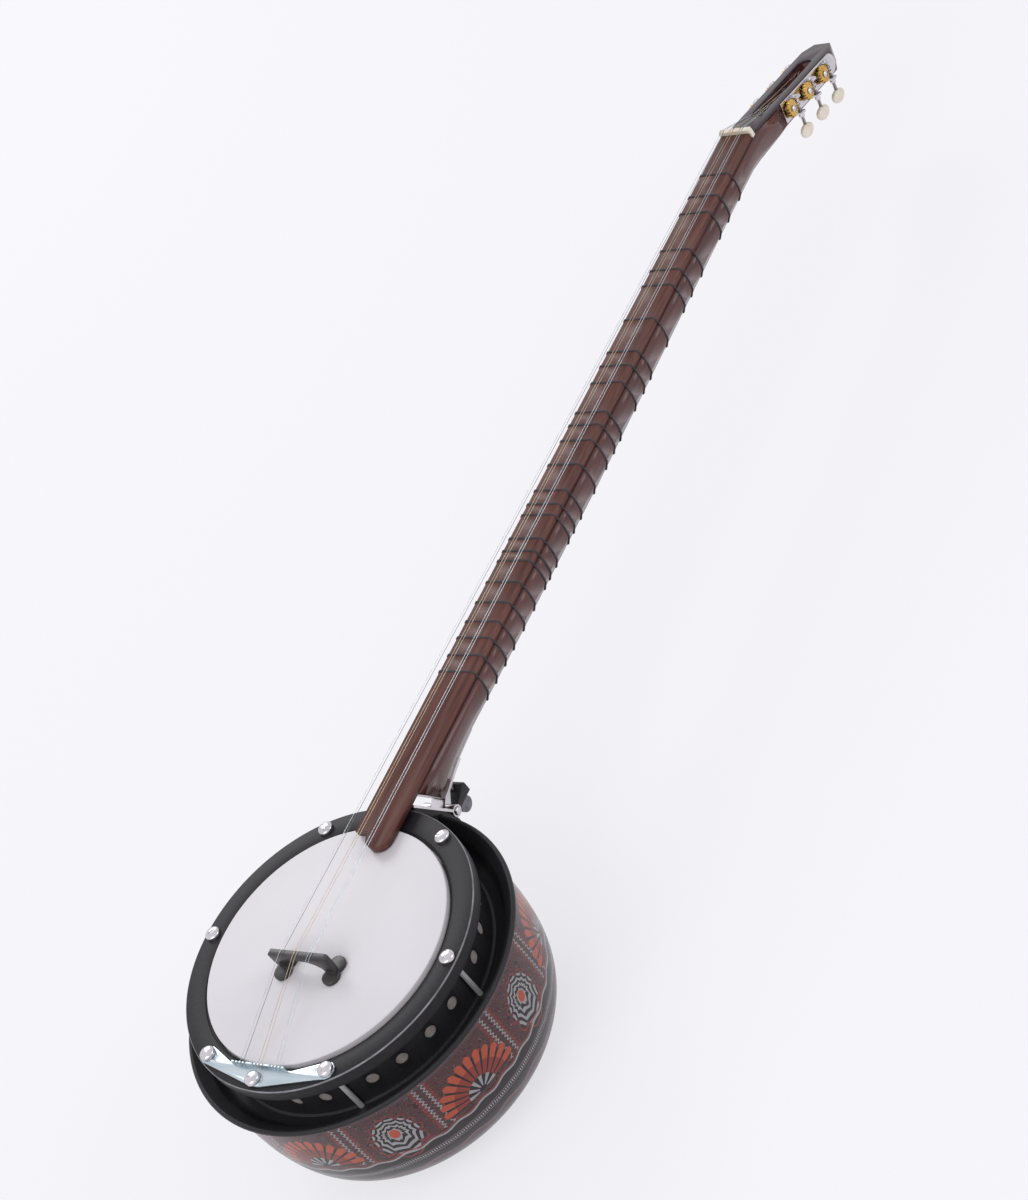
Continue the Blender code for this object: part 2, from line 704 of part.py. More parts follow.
# Half sections as (share of half width, share of depth), from the top edge to the back's middle
HEEL_SECTION = ((1.0, 0.0), (1.0, 0.22), (0.84, 0.58), (0.43, 1.0), (0.0, 1.0))
NECK_SECTION = ((1.0, 0.0), (1.0, 0.30), (0.90, 0.62), (0.55, 0.92), (0.0, 1.0))
HEAD_SECTION = ((1.0, 0.0), (1.0, 0.45), (1.0, 0.90), (0.88, 1.0), (0.0, 1.0))

# Back of the neck: (y, z of the back, section, next section, share of the next)
NECK_BACK = (
    (STRAP_LOW_Y, 0.1185, HEEL_SECTION, NECK_SECTION, 0.0),
    (STRAP_RISE_Y, 0.1220, HEEL_SECTION, NECK_SECTION, 0.0),
    (STRAP_STEP_Y + 0.0005, 0.1236, HEEL_SECTION, NECK_SECTION, 0.05),
    (0.2120, 0.1248, HEEL_SECTION, NECK_SECTION, 0.3),
    (0.2600, 0.1232, HEEL_SECTION, NECK_SECTION, 0.9),
    (0.3000, 0.1220, HEEL_SECTION, NECK_SECTION, 1.0),
    (0.4500, 0.1192, HEEL_SECTION, NECK_SECTION, 1.0),
    (0.7800, 0.1198, HEEL_SECTION, NECK_SECTION, 1.0),
    (0.8000, 0.1194, HEEL_SECTION, NECK_SECTION, 1.0),
)


def mixed(one, two, share):
    return [(a[0] + (b[0] - a[0]) * share, a[1] + (b[1] - a[1]) * share) for a, b in zip(one, two)]


def section_points(section, half, depth, raised=0.0):
    """Both halves of a section as (x, height), clockwise from the left top edge."""
    right = []
    for across, down in section:
        x = half * across + raised * min(1.0, across * 1.5)
        right.append((x, -depth * down - raised * down))
    left = [(-x, height) for x, height in right[:-1]]
    return left + [right[-1]] + right[-2::-1]


def neck_ring(y, raised):
    """A section across the neck, its depth read from the back line."""
    top = board_z(y) - BOARD_THICKNESS - GAP
    for low, high in zip(NECK_BACK, NECK_BACK[1:]):
        if low[0] <= y <= high[0] or high is NECK_BACK[-1]:
            share = (y - low[0]) / (high[0] - low[0])
            back = low[1] + (high[1] - low[1]) * share
            mix = low[4] + (high[4] - low[4]) * share
            break
    section = mixed(HEEL_SECTION, NECK_SECTION, mix)
    half = board_half(y) + NECK_OVERHANG
    return [(x, y, top + height) for x, height in section_points(section, half, top - back, raised)]


def heel_ring():
    """The heel's leaning end face."""
    top = board_z(HEEL_TOP_Y) - BOARD_THICKNESS - GAP
    depth = top - HEEL_BACK_Z
    half = board_half(HEEL_TOP_Y) + NECK_OVERHANG
    ring = []
    for x, height in section_points(HEEL_SECTION, half, depth):
        ring.append((x, HEEL_TOP_Y + (HEEL_BACK_Y - HEEL_TOP_Y) * -height / depth, top + height))
    return ring


def face_point(x, s, c):
    """A point given across the headstock, along its face and into its wood."""
    tilt = math.radians(HEAD_TILT_DEG)
    y = NUT_Y + s * math.cos(tilt) - c * math.sin(tilt)
    z = board_z(NUT_Y) - HEAD_DROP - s * math.sin(tilt) - c * math.cos(tilt)
    return x, y, z


def head_ring(s, back, half, mix):
    top = VENEER_THICKNESS + GAP
    section = mixed(NECK_SECTION, HEAD_SECTION, mix)
    return [face_point(x, s, top - height) for x, height in section_points(section, half, back - top)]


def make_neck():
    rings = [heel_ring()]
    stations = [row[0] for row in NECK_BACK]
    rings += [neck_ring(y, raised) for y, raised in with_frets(stations)]
    shoulder = HEAD_SHOULDER_HALF
    rings += [
        head_ring(0.0090, 0.0293, shoulder, 0.2),
        head_ring(0.0240, 0.0262, shoulder, 0.6),
        head_ring(0.0400, 0.0232, shoulder, 1.0),
        head_ring(0.0560, HEAD_DEPTH, shoulder, 1.0),
        head_ring(HEAD_TAPER_S, HEAD_DEPTH, HEAD_HALF_WIDTH + CHEEK_TRIM, 1.0),
        head_ring(HEAD_LENGTH, HEAD_DEPTH - 0.003, HEAD_TIP_HALF, 1.0),
    ]
    neck = loft("neck", rings, MAHOGANY)
    for side in (-1, 1):
        combine(neck, recess_solid(side))
    for k, s in enumerate(TUNER_S):
        combine(neck, pin_solid(f"roller_hole_{k}", ROLLER_SHAFT_RADIUS + GAP, -0.02, 0.02, steps=8,
                                parent=FACE, at=(0, s, -TUNER_C), turn=(0, math.radians(90), 0)))
    combine(neck, slot_solid("neck_slot"))
    for y in strap_screw_y():
        combine(neck, pin_solid(f"neck_strap_hole_{round(y * 1000)}", STRAP_SCREW_RADIUS + GAP, 0.110, 0.1345,
                                steps=8, at=(0, y, 0)))


def slot_solid(name):
    half = SLOT_HALF_WIDTH
    points = [(-half, SLOT_START_S + half), *arc((0, SLOT_START_S + half), half, 180, 360, 7)]
    points += arc((0, SLOT_END_S - half), half, 0, 180, 7)
    return outline(name, [points[1:]], -0.035, 0.01, None, CUTTERS, parent=FACE)


def recess_solid(side):
    """Cuts the cheek back to the plate's seat, with a round end beside the shoulder."""
    radius = 0.0115
    start = RECESS_START_S + radius
    points = arc((start, -TUNER_C), radius, 90, 270, 9)
    points += [(HEAD_LENGTH + 0.01, -TUNER_C - radius - 0.004), (HEAD_LENGTH + 0.01, -TUNER_C + radius + 0.004)]
    low, high = HEAD_HALF_WIDTH, HEAD_HALF_WIDTH + 0.01
    return outline(f"recess_{side}", [points], low if side > 0 else -high, high if side > 0 else -low,
                   None, CUTTERS, parent=FACE, turn=(math.radians(90), 0, math.radians(90)))


def make_face():
    made = bpy.data.objects.new("headstock_face", None)
    PARTS.objects.link(made)
    made.location = face_point(0, 0, 0)
    made.rotation_euler = (math.radians(-HEAD_TILT_DEG), 0, 0)
    bpy.context.view_layer.update()
    return made


def make_veneer():
    half, tip = HEAD_HALF_WIDTH, HEAD_TIP_HALF
    edge = [(-half, VENEER_START_S), (half, VENEER_START_S), (half, HEAD_TAPER_S), (tip, HEAD_LENGTH),
            (-tip, HEAD_LENGTH), (-half, HEAD_TAPER_S)]
    veneer = outline("headstock_veneer", [edge], -VENEER_THICKNESS, 0, ROSEWOOD, parent=FACE)
    combine(veneer, slot_solid("veneer_slot"))


def make_nut():
    """A bar across the end of the board, notched for the strings, in the plane across the neck."""
    top = board_z(NUT_Y) + NUT_HEIGHT
    bottom = board_z(NUT_Y) - 0.0056
    floor = board_z(NUT_Y) + STRING_HEIGHT_AT_NUT - STRING_RADIUS - GAP
    half = NUT_WIDTH / 2
    points = [(-half, bottom), (-half, top - 0.0022), (-half + 0.0008, top)]
    for x in STRING_NUT_X:
        points += [(x - NUT_SLOT / 2, top), (x - NUT_SLOT / 2, floor),
                   (x + NUT_SLOT / 2, floor), (x + NUT_SLOT / 2, top)]
    points += [(half - 0.0008, top), (half, top - 0.0022), (half, bottom)]
    outline("nut", [points], -NUT_THICKNESS, 0, CREAM, at=(0, NUT_Y + GAP, 0), turn=(math.radians(90), 0, 0))


# Hinge, strap, bracket and adjusting screw
STRAP_SCREW_RADIUS = 0.0016


def strap_screw_y():
    return STRAP_STEP_Y - 0.006, STRAP_END_Y - 0.007


def strap_line():
    """(y, z) of the strap's face against the heel, from its far end towards the knuckle."""
    return [
        (STRAP_END_Y, 0.1248 - GAP),
        (STRAP_STEP_Y, 0.1234 - GAP),
        (STRAP_RISE_Y, 0.1218 - GAP),
        (STRAP_LOW_Y, 0.1183 - GAP),
        (STRAP_LOW_Y - 0.0055, 0.1171 - GAP),
    ]


def make_strap():
    line = strap_line()
    thick = STRAP_THICKNESS
    lower = [(STRAP_END_Y, line[0][1] - thick), (STRAP_STEP_Y, line[1][1] - thick),
             (STRAP_STEP_Y, line[1][1] - 2 * thick), (STRAP_RISE_Y, line[2][1] - 2 * thick),
             (STRAP_LOW_Y + 0.0010, line[3][1] - 1.7 * thick)]
    start = arc((PIN_Y, PIN_Z), KNUCKLE_RADIUS, 0, -270, 12)
    points = line + [(PIN_Y + 0.0015, PIN_Z + KNUCKLE_RADIUS + 0.0012)]
    points += start[::-1] + lower[::-1]
    strap = outline("heel_strap", [points], -STRAP_HALF_WIDTH, STRAP_HALF_WIDTH, CHROME,
                    turn=(math.radians(90), 0, math.radians(90)))
    combine(strap, pin_bore("strap_bore"))
    for y in strap_screw_y():
        combine(strap, pin_solid(f"strap_hole_{round(y * 1000)}", STRAP_SCREW_RADIUS + GAP, 0.110, 0.130,
                                 steps=8, at=(0, y, 0)))


def make_strap_screws():
    for i, y in enumerate(strap_screw_y()):
        line = strap_line()
        share = (y - STRAP_STEP_Y) / (STRAP_END_Y - STRAP_STEP_Y)
        if y > STRAP_STEP_Y:
            seat = line[1][1] + (line[0][1] - line[1][1]) * share - STRAP_THICKNESS
        else:
            share = (y - STRAP_RISE_Y) / (STRAP_STEP_Y - STRAP_RISE_Y)
            seat = line[2][1] + (line[1][1] - line[2][1]) * share - 2 * STRAP_THICKNESS
        under = seat - 2 * GAP
        profile = [
            (0, under + 0.0110),
            (STRAP_SCREW_RADIUS, under + 0.0100),
            (STRAP_SCREW_RADIUS, under),
            (0.0032, under),
            (0.0026, under - 0.0012),
            (0, under - 0.0016),
        ]
        smooth(turned(f"strap_screw_{i + 1}", profile, CHROME, 10, False, at=(0, y, 0)))


def pin_bore(name):
    return pin_solid(name, PIN_RADIUS + GAP, -0.03, 0.03, steps=16, at=(0, PIN_Y, PIN_Z),
                     turn=(0, math.radians(90), 0))


def rim_plate_direction():
    top = Vector(RIM_PLATE_TOP)
    return (Vector((PIN_Y + 0.0006, PIN_Z)) - top).normalized()


def make_rim_plate():
    along = rim_plate_direction()
    across = Vector((along.y, -along.x))  # from the neck towards the body
    top = Vector(RIM_PLATE_TOP)
    end = top + along * ((Vector((PIN_Y, PIN_Z)) - top).length - KNUCKLE_RADIUS + 0.0015)
    corners = [top, end, end + across * RIM_PLATE_THICKNESS, top + across * RIM_PLATE_THICKNESS]
    half = HINGE_HALF_WIDTH
    upright = dict(turn=(math.radians(90), 0, math.radians(90)))
    plate = outline("rim_plate", [[tuple(p) for p in corners]], -half, half, CHROME, **upright)
    knuckle = pin_solid("rim_knuckle", KNUCKLE_RADIUS, -half, half, CHROME, 16, at=(0, PIN_Y, PIN_Z),
                        turn=(0, math.radians(90), 0))
    combine(plate, knuckle, "UNION")
    gap = STRAP_HALF_WIDTH + GAP
    reach = KNUCKLE_RADIUS + 0.0012
    combine(plate, box("rim_knuckle_gap", (-gap, PIN_Y - reach, PIN_Z - reach), (gap, PIN_Y + reach, PIN_Z + reach)))
    combine(plate, pin_bore("rim_bore"))


def make_hinge_pin():
    half = HINGE_HALF_WIDTH + 0.0004
    head = PIN_RADIUS + 0.0010
    profile = [
        (0, half + 0.0016), (head * 0.7, half + 0.0012), (head, half), (PIN_RADIUS, half),
        (PIN_RADIUS, -half), (head, -half), (head * 0.7, -half - 0.0012), (0, -half - 0.0016),
    ]
    smooth(turned("hinge_pin", profile, CHROME, 16, False, at=(0, PIN_Y, PIN_Z), turn=(0, math.radians(90), 0)))


def make_bracket():
    """The cast block behind the rim plate, with the arm that carries the adjusting screw."""
    along = rim_plate_direction()
    across = Vector((along.y, -along.x))
    back = Vector(RIM_PLATE_TOP) + across * (RIM_PLATE_THICKNESS + GAP)
    top = back + along * 0.0020
    low = back + along * 0.0365
    under = PIN_Z - KNUCKLE_RADIUS - 0.0006
    outer = THUMB_Y + 0.0062
    inside_y = WALL_RADIUS - 0.0100
    points = [
        (inside_y, top.y), tuple(top), tuple(low), (PIN_Y - KNUCKLE_RADIUS - 0.0008, PIN_Z + 0.003),
        (PIN_Y - KNUCKLE_RADIUS - 0.0008, PIN_Z - 0.003), (PIN_Y - 0.0020, under), (PIN_Y + 0.0060, under),
        (THUMB_Y - 0.0060, 0.1052), (outer - 0.0030, 0.1094), (outer, 0.1080), (outer, ARM_BOTTOM_Z),
        (THUMB_Y - 0.0070, ARM_BOTTOM_Z), (PIN_Y - 0.002, ARM_BOTTOM_Z - 0.0022), (inside_y, ARM_BOTTOM_Z - 0.0010),
    ]
    upright = dict(turn=(math.radians(90), 0, math.radians(90)))
    bracket = outline("neck_bracket", [points], -HINGE_HALF_WIDTH, HINGE_HALF_WIDTH, BLACK_CASTING, **upright)
    rise = HOOP_TOP + 0.01
    inside = WALL_RADIUS - 0.03
    skirt = HOOP_TOP - HOOP_HEIGHT - GAP
    body = [(inside, rise), (HOOP_RADIUS + GAP, rise), (HOOP_RADIUS + GAP, skirt), (WALL_RADIUS + GAP, skirt)]
    body += gutter_line(GAP)
    body += bead(2 * GAP, 130, 0, 6)
    body += [(FLANGE_RADIUS + 2 * GAP, ARM_BOTTOM_Z - 0.02), (inside, ARM_BOTTOM_Z - 0.02)]
    combine(bracket, turned("body_clearance", body, None, collection=CUTTERS))
    combine(bracket, pin_solid("thumb_hole", THUMB_RADIUS + GAP, 0.080, 0.125, steps=12, at=(0, THUMB_Y, 0)))
    arm_gap = 0.0085
    for side in (-1, 1):
        low_x, high_x = sorted((side * arm_gap, side * 0.03))
        combine(bracket, box(f"arm_side_{side}", (low_x, PIN_Y - 0.003, 0.08), (high_x, THUMB_Y + 0.022, 0.125)))
        combine(bracket, bracket_screw_hole(side, "bracket"))


def make_bracket_screws():
    wall = WALL_RADIUS - WALL_THICKNESS
    for side, name in ((-1, "bracket_screw_left"), (1, "bracket_screw_right")):
        profile = [
            (0, WALL_RADIUS + 0.0075), (THUMB_RADIUS, WALL_RADIUS + 0.0065), (THUMB_RADIUS, wall - 0.0012), (0.0042, wall - 0.0012),
            (0.0042, wall - 0.0042), (0, wall - 0.0042),
        ]
        smooth(turned(name, profile, CHROME, 10, False, at=(side * BRACKET_SCREW_X, 0, BRACKET_SCREW_Z),
                      turn=(math.radians(-90), 0, 0)))


def thumb_tip_z():
    """Just under the strap's outer face above the screw."""
    line = strap_line()
    share = (THUMB_Y - STRAP_LOW_Y) / (STRAP_RISE_Y - STRAP_LOW_Y)
    return line[3][1] + (line[2][1] - line[3][1]) * share - 2 * STRAP_THICKNESS - 0.0004


def make_thumb_screw():
    disc_top = THUMB_DISC_Z + THUMB_DISC_RADIUS - 0.0012
    tip = thumb_tip_z()
    stem = turned("thumb_screw", [(0, tip), (THUMB_RADIUS * 0.7, tip), (THUMB_RADIUS, tip - 0.0010),
                                  (THUMB_RADIUS, disc_top - 0.003), (0, disc_top - 0.003)],
                  DARK_STEEL, 12, False, at=(0, THUMB_Y, 0))
    disc = pin_solid("thumb_disc", THUMB_DISC_RADIUS, -0.0016, 0.0016, DARK_STEEL, 18,
                     at=(0, THUMB_Y, THUMB_DISC_Z), turn=(0, math.radians(90), 0))
    combine(stem, disc, "UNION")
    low = ARM_BOTTOM_Z - GAP - LOCK_NUT_HEIGHT
    high = ARM_BOTTOM_Z - GAP
    inner = THUMB_RADIUS + GAP
    turned("lock_nut", [(inner, high), (LOCK_NUT_RADIUS, high), (LOCK_NUT_RADIUS, low), (inner, low)],
           BRASS, 12, at=(0, THUMB_Y, 0))


# Tuners
def gear_outline():
    """Teeth round the rim, with a gap facing the worm, which lies along +Y."""
    points = []
    step = 360 / GEAR_TEETH
    for i in range(GEAR_TEETH):
        middle = 90 + step * (i + 0.5)
        root = math.degrees(GEAR_ROOT_HALF / GEAR_ROOT_RADIUS)
        tip = math.degrees(GEAR_TIP_HALF / GEAR_TIP_RADIUS)
        points += [polar(GEAR_ROOT_RADIUS, middle - root), polar(GEAR_TIP_RADIUS, middle - tip),
                   polar(GEAR_TIP_RADIUS, middle + tip), polar(GEAR_ROOT_RADIUS, middle + root)]
    return points


def gear_mesh():
    bore = [polar(STUD_RADIUS + GAP, 45 * i) for i in range(8)]
    gear = outline("gear_master", [gear_outline(), bore], -GEAR_THICKNESS / 2, GEAR_THICKNESS / 2, BRASS)
    mesh = gear.data
    bpy.data.objects.remove(gear)
    mesh.transform(Matrix(((0, 0, 1, 0), (0, 1, 0, 0), (-1, 0, 0, 0), (0, 0, 0, 1))))
    return mesh


def worm_z(c):
    """Height over the gear's centre line, for a distance into the wood."""
    return TUNER_C - c


def worm_mesh():
    """The key's shaft with its screw thread, about Z, level with the gear's centre at z 0."""
    top = worm_z(LUG_C[0] - 0.0012)
    end = worm_z(BUTTON_C - BUTTON_HALF_SIZE[2] + 0.0050)
    shaft = WORM_SHAFT_RADIUS
    core_top = worm_z(LUG_C[0] + LUG_THICKNESS + GAP)
    core_low = worm_z(LUG_C[1] - GAP)
    collar = worm_z(LUG_C[1] + LUG_THICKNESS + 0.0004)
    profile = [
        (0, top), (shaft, top), (shaft, core_top), (WORM_CORE_RADIUS, core_top), (WORM_CORE_RADIUS, core_low),
        (shaft, core_low), (shaft, collar), (0.0026, collar - 0.0003), (0.0026, collar - 0.0026),
        (shaft, collar - 0.0032), (shaft, end), (0, end),
    ]
    core = turned("worm_core", profile, CHROME, 8, False)
    half = WORM_TURNS / 2
    count = WORM_POINTS * WORM_TURNS
    points = []
    for i in range(count + 1):
        turns = -half + WORM_TURNS * i / count
        x, y = polar(WORM_THREAD_CENTRE, 360 * turns - 90)
        points.append((x, y, WORM_PITCH * turns))
    thread = plain(tube("worm_thread", points, WORM_THREAD_RADIUS, CHROME, 0))
    combine(core, thread, "UNION")
    mesh = as_mesh(core)
    bpy.data.objects.remove(core)
    bpy.data.objects.remove(thread)
    return mesh


def roller_mesh():
    """The string roller with its shaft, gear stud and gear screw, along +X from the slot's middle."""
    wall = SLOT_HALF_WIDTH
    cheek = HEAD_HALF_WIDTH + GAP + PLATE_THICKNESS + ROLLER_CLEAR
    gear_out = GEAR_X + GEAR_THICKNESS / 2
    profile = [
        (0, gear_out + 0.0018), (GEAR_SCREW_RADIUS, gear_out + 0.0012), (GEAR_SCREW_RADIUS, gear_out + GAP),
        (STUD_RADIUS, gear_out + GAP), (STUD_RADIUS, cheek), (STUD_RADIUS, HEAD_HALF_WIDTH - 0.0010),
        (ROLLER_SHAFT_RADIUS, HEAD_HALF_WIDTH - 0.0010), (ROLLER_SHAFT_RADIUS, wall - ROLLER_CLEAR),
        (ROLLER_RADIUS, wall - ROLLER_CLEAR), (ROLLER_RADIUS, ROLLER_CLEAR), (0, ROLLER_CLEAR),
    ]
    item = turned("roller_master", profile, CHROME, 8, False)
    mesh = as_mesh(item)
    bpy.data.objects.remove(item)
    mesh.transform(Matrix(((0, 0, 1, 0), (0, 1, 0, 0), (-1, 0, 0, 0), (0, 0, 0, 1))))
    return mesh


def button_mesh():
    mesh = bpy.data.meshes.new("button_master")
    form = bmesh.new()
    bmesh.ops.create_uvsphere(form, u_segments=10, v_segments=6, radius=1)
    bmesh.ops.scale(form, vec=BUTTON_HALF_SIZE, verts=form.verts)
    form.to_mesh(mesh)
    form.free()
    item = mesh_item("button_master", mesh, CREAM)
    hole = pin_solid("button_hole", WORM_SHAFT_RADIUS + GAP, BUTTON_HALF_SIZE[2] - 0.0056, 0.02, steps=6)
    combine(item, hole)
    made = as_mesh(item)
    bpy.data.objects.remove(item)
    bpy.data.objects.remove(hole)
    return made


def make_tuners():
    gear, worm, roller, button = gear_mesh(), worm_mesh(), roller_mesh(), button_mesh()
    for side, name in ((-1, "left"), (1, "right")):
        for k, s in enumerate(TUNER_S):
            tag = f"{name}_{k + 1}"
            shaft_s = s + WORM_DISTANCE
            mesh_item(f"gear_{tag}", gear, None, parent=FACE, at=(side * GEAR_X, s, -TUNER_C))
            mesh_item(f"worm_{tag}", worm, None, parent=FACE, at=(side * GEAR_X, shaft_s, -TUNER_C))
            mesh_item(f"roller_{tag}", roller, None, parent=FACE, at=(0, s, -TUNER_C),
                      turn=(0, 0, math.radians(90 - 90 * side)))
            mesh_item(f"button_{tag}", button, None, parent=FACE, at=(side * GEAR_X, shaft_s, -BUTTON_C))
        make_tuner_plate(side, name)


def make_tuner_plate(side, name):
    """A plate along the cheek, with two drilled lugs for each worm shaft."""
    low, high = PLATE_START_S, PLATE_END_S
    top, bottom = -PLATE_TOP_C, -PLATE_BOTTOM_C
    middle, radius = (top + bottom) / 2, (top - bottom) / 2
    points = [(low, bottom), *arc((high - radius, middle), radius, -90, 90, 9), (low, top)]
    inner = HEAD_HALF_WIDTH + GAP
    outer = inner + PLATE_THICKNESS
    span = (inner, outer) if side > 0 else (-outer, -inner)
    plate = outline(f"tuner_plate_{name}", [points], *span, CHROME, parent=FACE,
                    turn=(math.radians(90), 0, math.radians(90)))
    for k, s in enumerate(TUNER_S):
        stud = pin_solid(f"plate_hole_{name}_{k}", STUD_RADIUS + GAP, -0.01, 0.01, steps=8, parent=FACE,
                         at=(side * inner, s, -TUNER_C), turn=(0, math.radians(90), 0))
        shaft_s = s + WORM_DISTANCE
        shaft = pin_solid(f"lug_hole_{name}_{k}", WORM_SHAFT_RADIUS + GAP, -0.03, 0.01, steps=6, parent=FACE,
                          at=(side * GEAR_X, shaft_s, 0))
        for j, c in enumerate(LUG_C):
            near, far = sorted((side * (outer - 0.0004), side * (GEAR_X + LUG_HALF_WIDTH)))
            lug = box(f"lug_{name}_{k}_{j}", (near, shaft_s - LUG_HALF_WIDTH, -c - LUG_THICKNESS),
                      (far, shaft_s + LUG_HALF_WIDTH, -c), CHROME, CUTTERS, parent=FACE)
            combine(plate, lug, "UNION")
        combine(plate, stud)
        combine(plate, shaft)


# Strings
def string_points(index):
    """One string from behind the tailpiece comb, over bridge and nut, onto its roller."""
    side_name, place_number = STRING_TUNERS[index]
    side = 1 if side_name == "right" else -1
    tail_z = TAIL_TOP + COMB_HEIGHT * 0.55
    nut_z = board_z(NUT_Y) + STRING_HEIGHT_AT_NUT
    past_nut = NUT_Y + GAP + NUT_THICKNESS + GAP
    points = [
        (STRING_TAIL_X[index], COMB_Y - 0.0031, tail_z - 0.0005),
        (STRING_TAIL_X[index], COMB_Y, tail_z + 0.0002),
        (STRING_BRIDGE_X[index], BRIDGE_Y - 0.0022, BRIDGE_TOP - 0.0001),
        (STRING_BRIDGE_X[index], BRIDGE_Y + 0.0022, BRIDGE_TOP),
    ]
    for share in (0.25, 0.5, 0.75):
        points.append(tuple(a + (b - a) * share for a, b in zip(points[3], (STRING_NUT_X[index], past_nut, nut_z))))
    points.append((STRING_NUT_X[index], past_nut, nut_z))
    edge_s, edge_n = SLOT_START_S + 0.0015, 0.0012
    centre_s, centre_n = TUNER_S[place_number], -TUNER_C
    radius = ROLLER_RADIUS + STRING_RADIUS + 2 * GAP
    reach = math.hypot(centre_s - edge_s, edge_n - centre_n)
    fall = math.atan2(edge_n - centre_n, centre_s - edge_s) - math.asin(radius / reach)
    points.append(face_point(STRING_SLOT_X[index], edge_s, -edge_n))
    start_x = side * (SLOT_HALF_WIDTH - ROLLER_CLEAR - 0.0011)
    count = round(WINDING_POINTS * WINDING_TURNS)
    for i in range(count + 1):
        turns = i / WINDING_POINTS
        angle = math.pi / 2 - fall - 2 * math.pi * turns
        x = start_x - side * WINDING_PITCH * turns
        points.append(face_point(x, centre_s + radius * math.cos(angle), -centre_n - radius * math.sin(angle)))
    return points


def winding_gap():
    """Least clear distance between neighbouring turns on a roller."""
    return WINDING_PITCH - 2 * STRING_RADIUS


def make_strings():
    surfaces = (STEEL, STEEL, BRASS, BRASS, STEEL, STEEL)
    for index, surface in enumerate(surfaces):
        tube(f"string_{index + 1}", string_points(index), STRING_RADIUS, surface)
    print("least gap between the turns on a roller:", round(winding_gap() * 1000, 2), "mm")


FACE = make_face()
make_bowl()
make_pot_ring()
make_head()
make_hoop()
make_bolts()
make_tailpiece()
make_bridge()
make_bracket()
make_bracket_screws()
make_rim_plate()
make_hinge_pin()
make_thumb_screw()
make_fingerboard()
make_neck()
make_veneer()
make_nut()
make_strap()
make_strap_screws()
make_tuners()
make_strings()
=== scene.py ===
"""A long-necked metal-bodied lute, lying on the flat back of its bowl, as a camera on its treble side sees it.

+Z leaves the face, +Y runs to the headstock and +X is the treble side. Sizes are in metres.
"""

import json
import math

import bpy
from mathutils import Matrix, Vector, geometry


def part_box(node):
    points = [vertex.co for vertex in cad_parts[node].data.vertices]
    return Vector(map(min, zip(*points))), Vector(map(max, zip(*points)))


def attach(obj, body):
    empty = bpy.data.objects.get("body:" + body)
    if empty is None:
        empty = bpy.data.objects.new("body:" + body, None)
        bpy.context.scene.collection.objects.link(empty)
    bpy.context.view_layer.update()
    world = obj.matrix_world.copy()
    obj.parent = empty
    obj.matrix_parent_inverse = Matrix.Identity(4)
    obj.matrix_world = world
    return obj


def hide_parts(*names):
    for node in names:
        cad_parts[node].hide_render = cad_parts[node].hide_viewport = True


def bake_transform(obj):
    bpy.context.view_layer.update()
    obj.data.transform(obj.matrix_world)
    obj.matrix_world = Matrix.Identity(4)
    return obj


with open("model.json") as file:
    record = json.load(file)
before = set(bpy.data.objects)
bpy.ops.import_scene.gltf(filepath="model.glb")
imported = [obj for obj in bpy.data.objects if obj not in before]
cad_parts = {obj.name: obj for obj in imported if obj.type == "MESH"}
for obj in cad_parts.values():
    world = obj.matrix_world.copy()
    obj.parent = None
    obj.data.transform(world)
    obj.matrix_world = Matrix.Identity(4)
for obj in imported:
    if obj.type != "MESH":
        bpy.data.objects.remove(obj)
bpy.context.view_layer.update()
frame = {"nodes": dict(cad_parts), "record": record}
scene = bpy.context.scene


# Camera and studio: a long lens from the treble side, a pale floor under the bowl's back,
# and a white tent of soft light.
camera = bpy.data.objects.new("camera", bpy.data.cameras.new("camera"))
scene.collection.objects.link(camera)
camera.data.lens = 90.9
camera.data.sensor_fit = "VERTICAL"
camera.data.sensor_height = 36
camera.matrix_world = Matrix((
    (0.77696, -0.00173, 0.62955, 1.45807),
    (0.39286, 0.78272, -0.48270, -0.79450),
    (-0.49193, 0.62237, 0.60882, 1.54830),
    (0, 0, 0, 1),
))
scene.camera = camera
scene.view_settings.view_transform = "Standard"

BACKDROP = (0.965, 0.960, 0.995, 1)
TENT_LIGHT = (0.95, 0.95, 1.0, 1)


def seen_directly(tree):
    """1 for rays that show the background: from the camera, and from glossy and clear surfaces."""
    path = tree.nodes.new("ShaderNodeLightPath")
    total = path.outputs["Is Camera Ray"]
    for name in ("Is Glossy Ray", "Is Transmission Ray"):
        larger = tree.nodes.new("ShaderNodeMath")
        larger.operation = "MAXIMUM"
        tree.links.new(total, larger.inputs[0])
        tree.links.new(path.outputs[name], larger.inputs[1])
        total = larger.outputs[0]
    return total


world = bpy.data.worlds.new("tent")
scene.world = world
world.use_nodes = True
tree = world.node_tree
lit = tree.nodes["Background"]
lit.inputs["Color"].default_value = TENT_LIGHT
lit.inputs["Strength"].default_value = 0.55
shown = tree.nodes.new("ShaderNodeBackground")
shown.inputs["Color"].default_value = BACKDROP
mix = tree.nodes.new("ShaderNodeMixShader")
tree.links.new(seen_directly(tree), mix.inputs[0])
tree.links.new(lit.outputs[0], mix.inputs[1])
tree.links.new(shown.outputs[0], mix.inputs[2])
tree.links.new(mix.outputs[0], tree.nodes["World Output"].inputs[0])

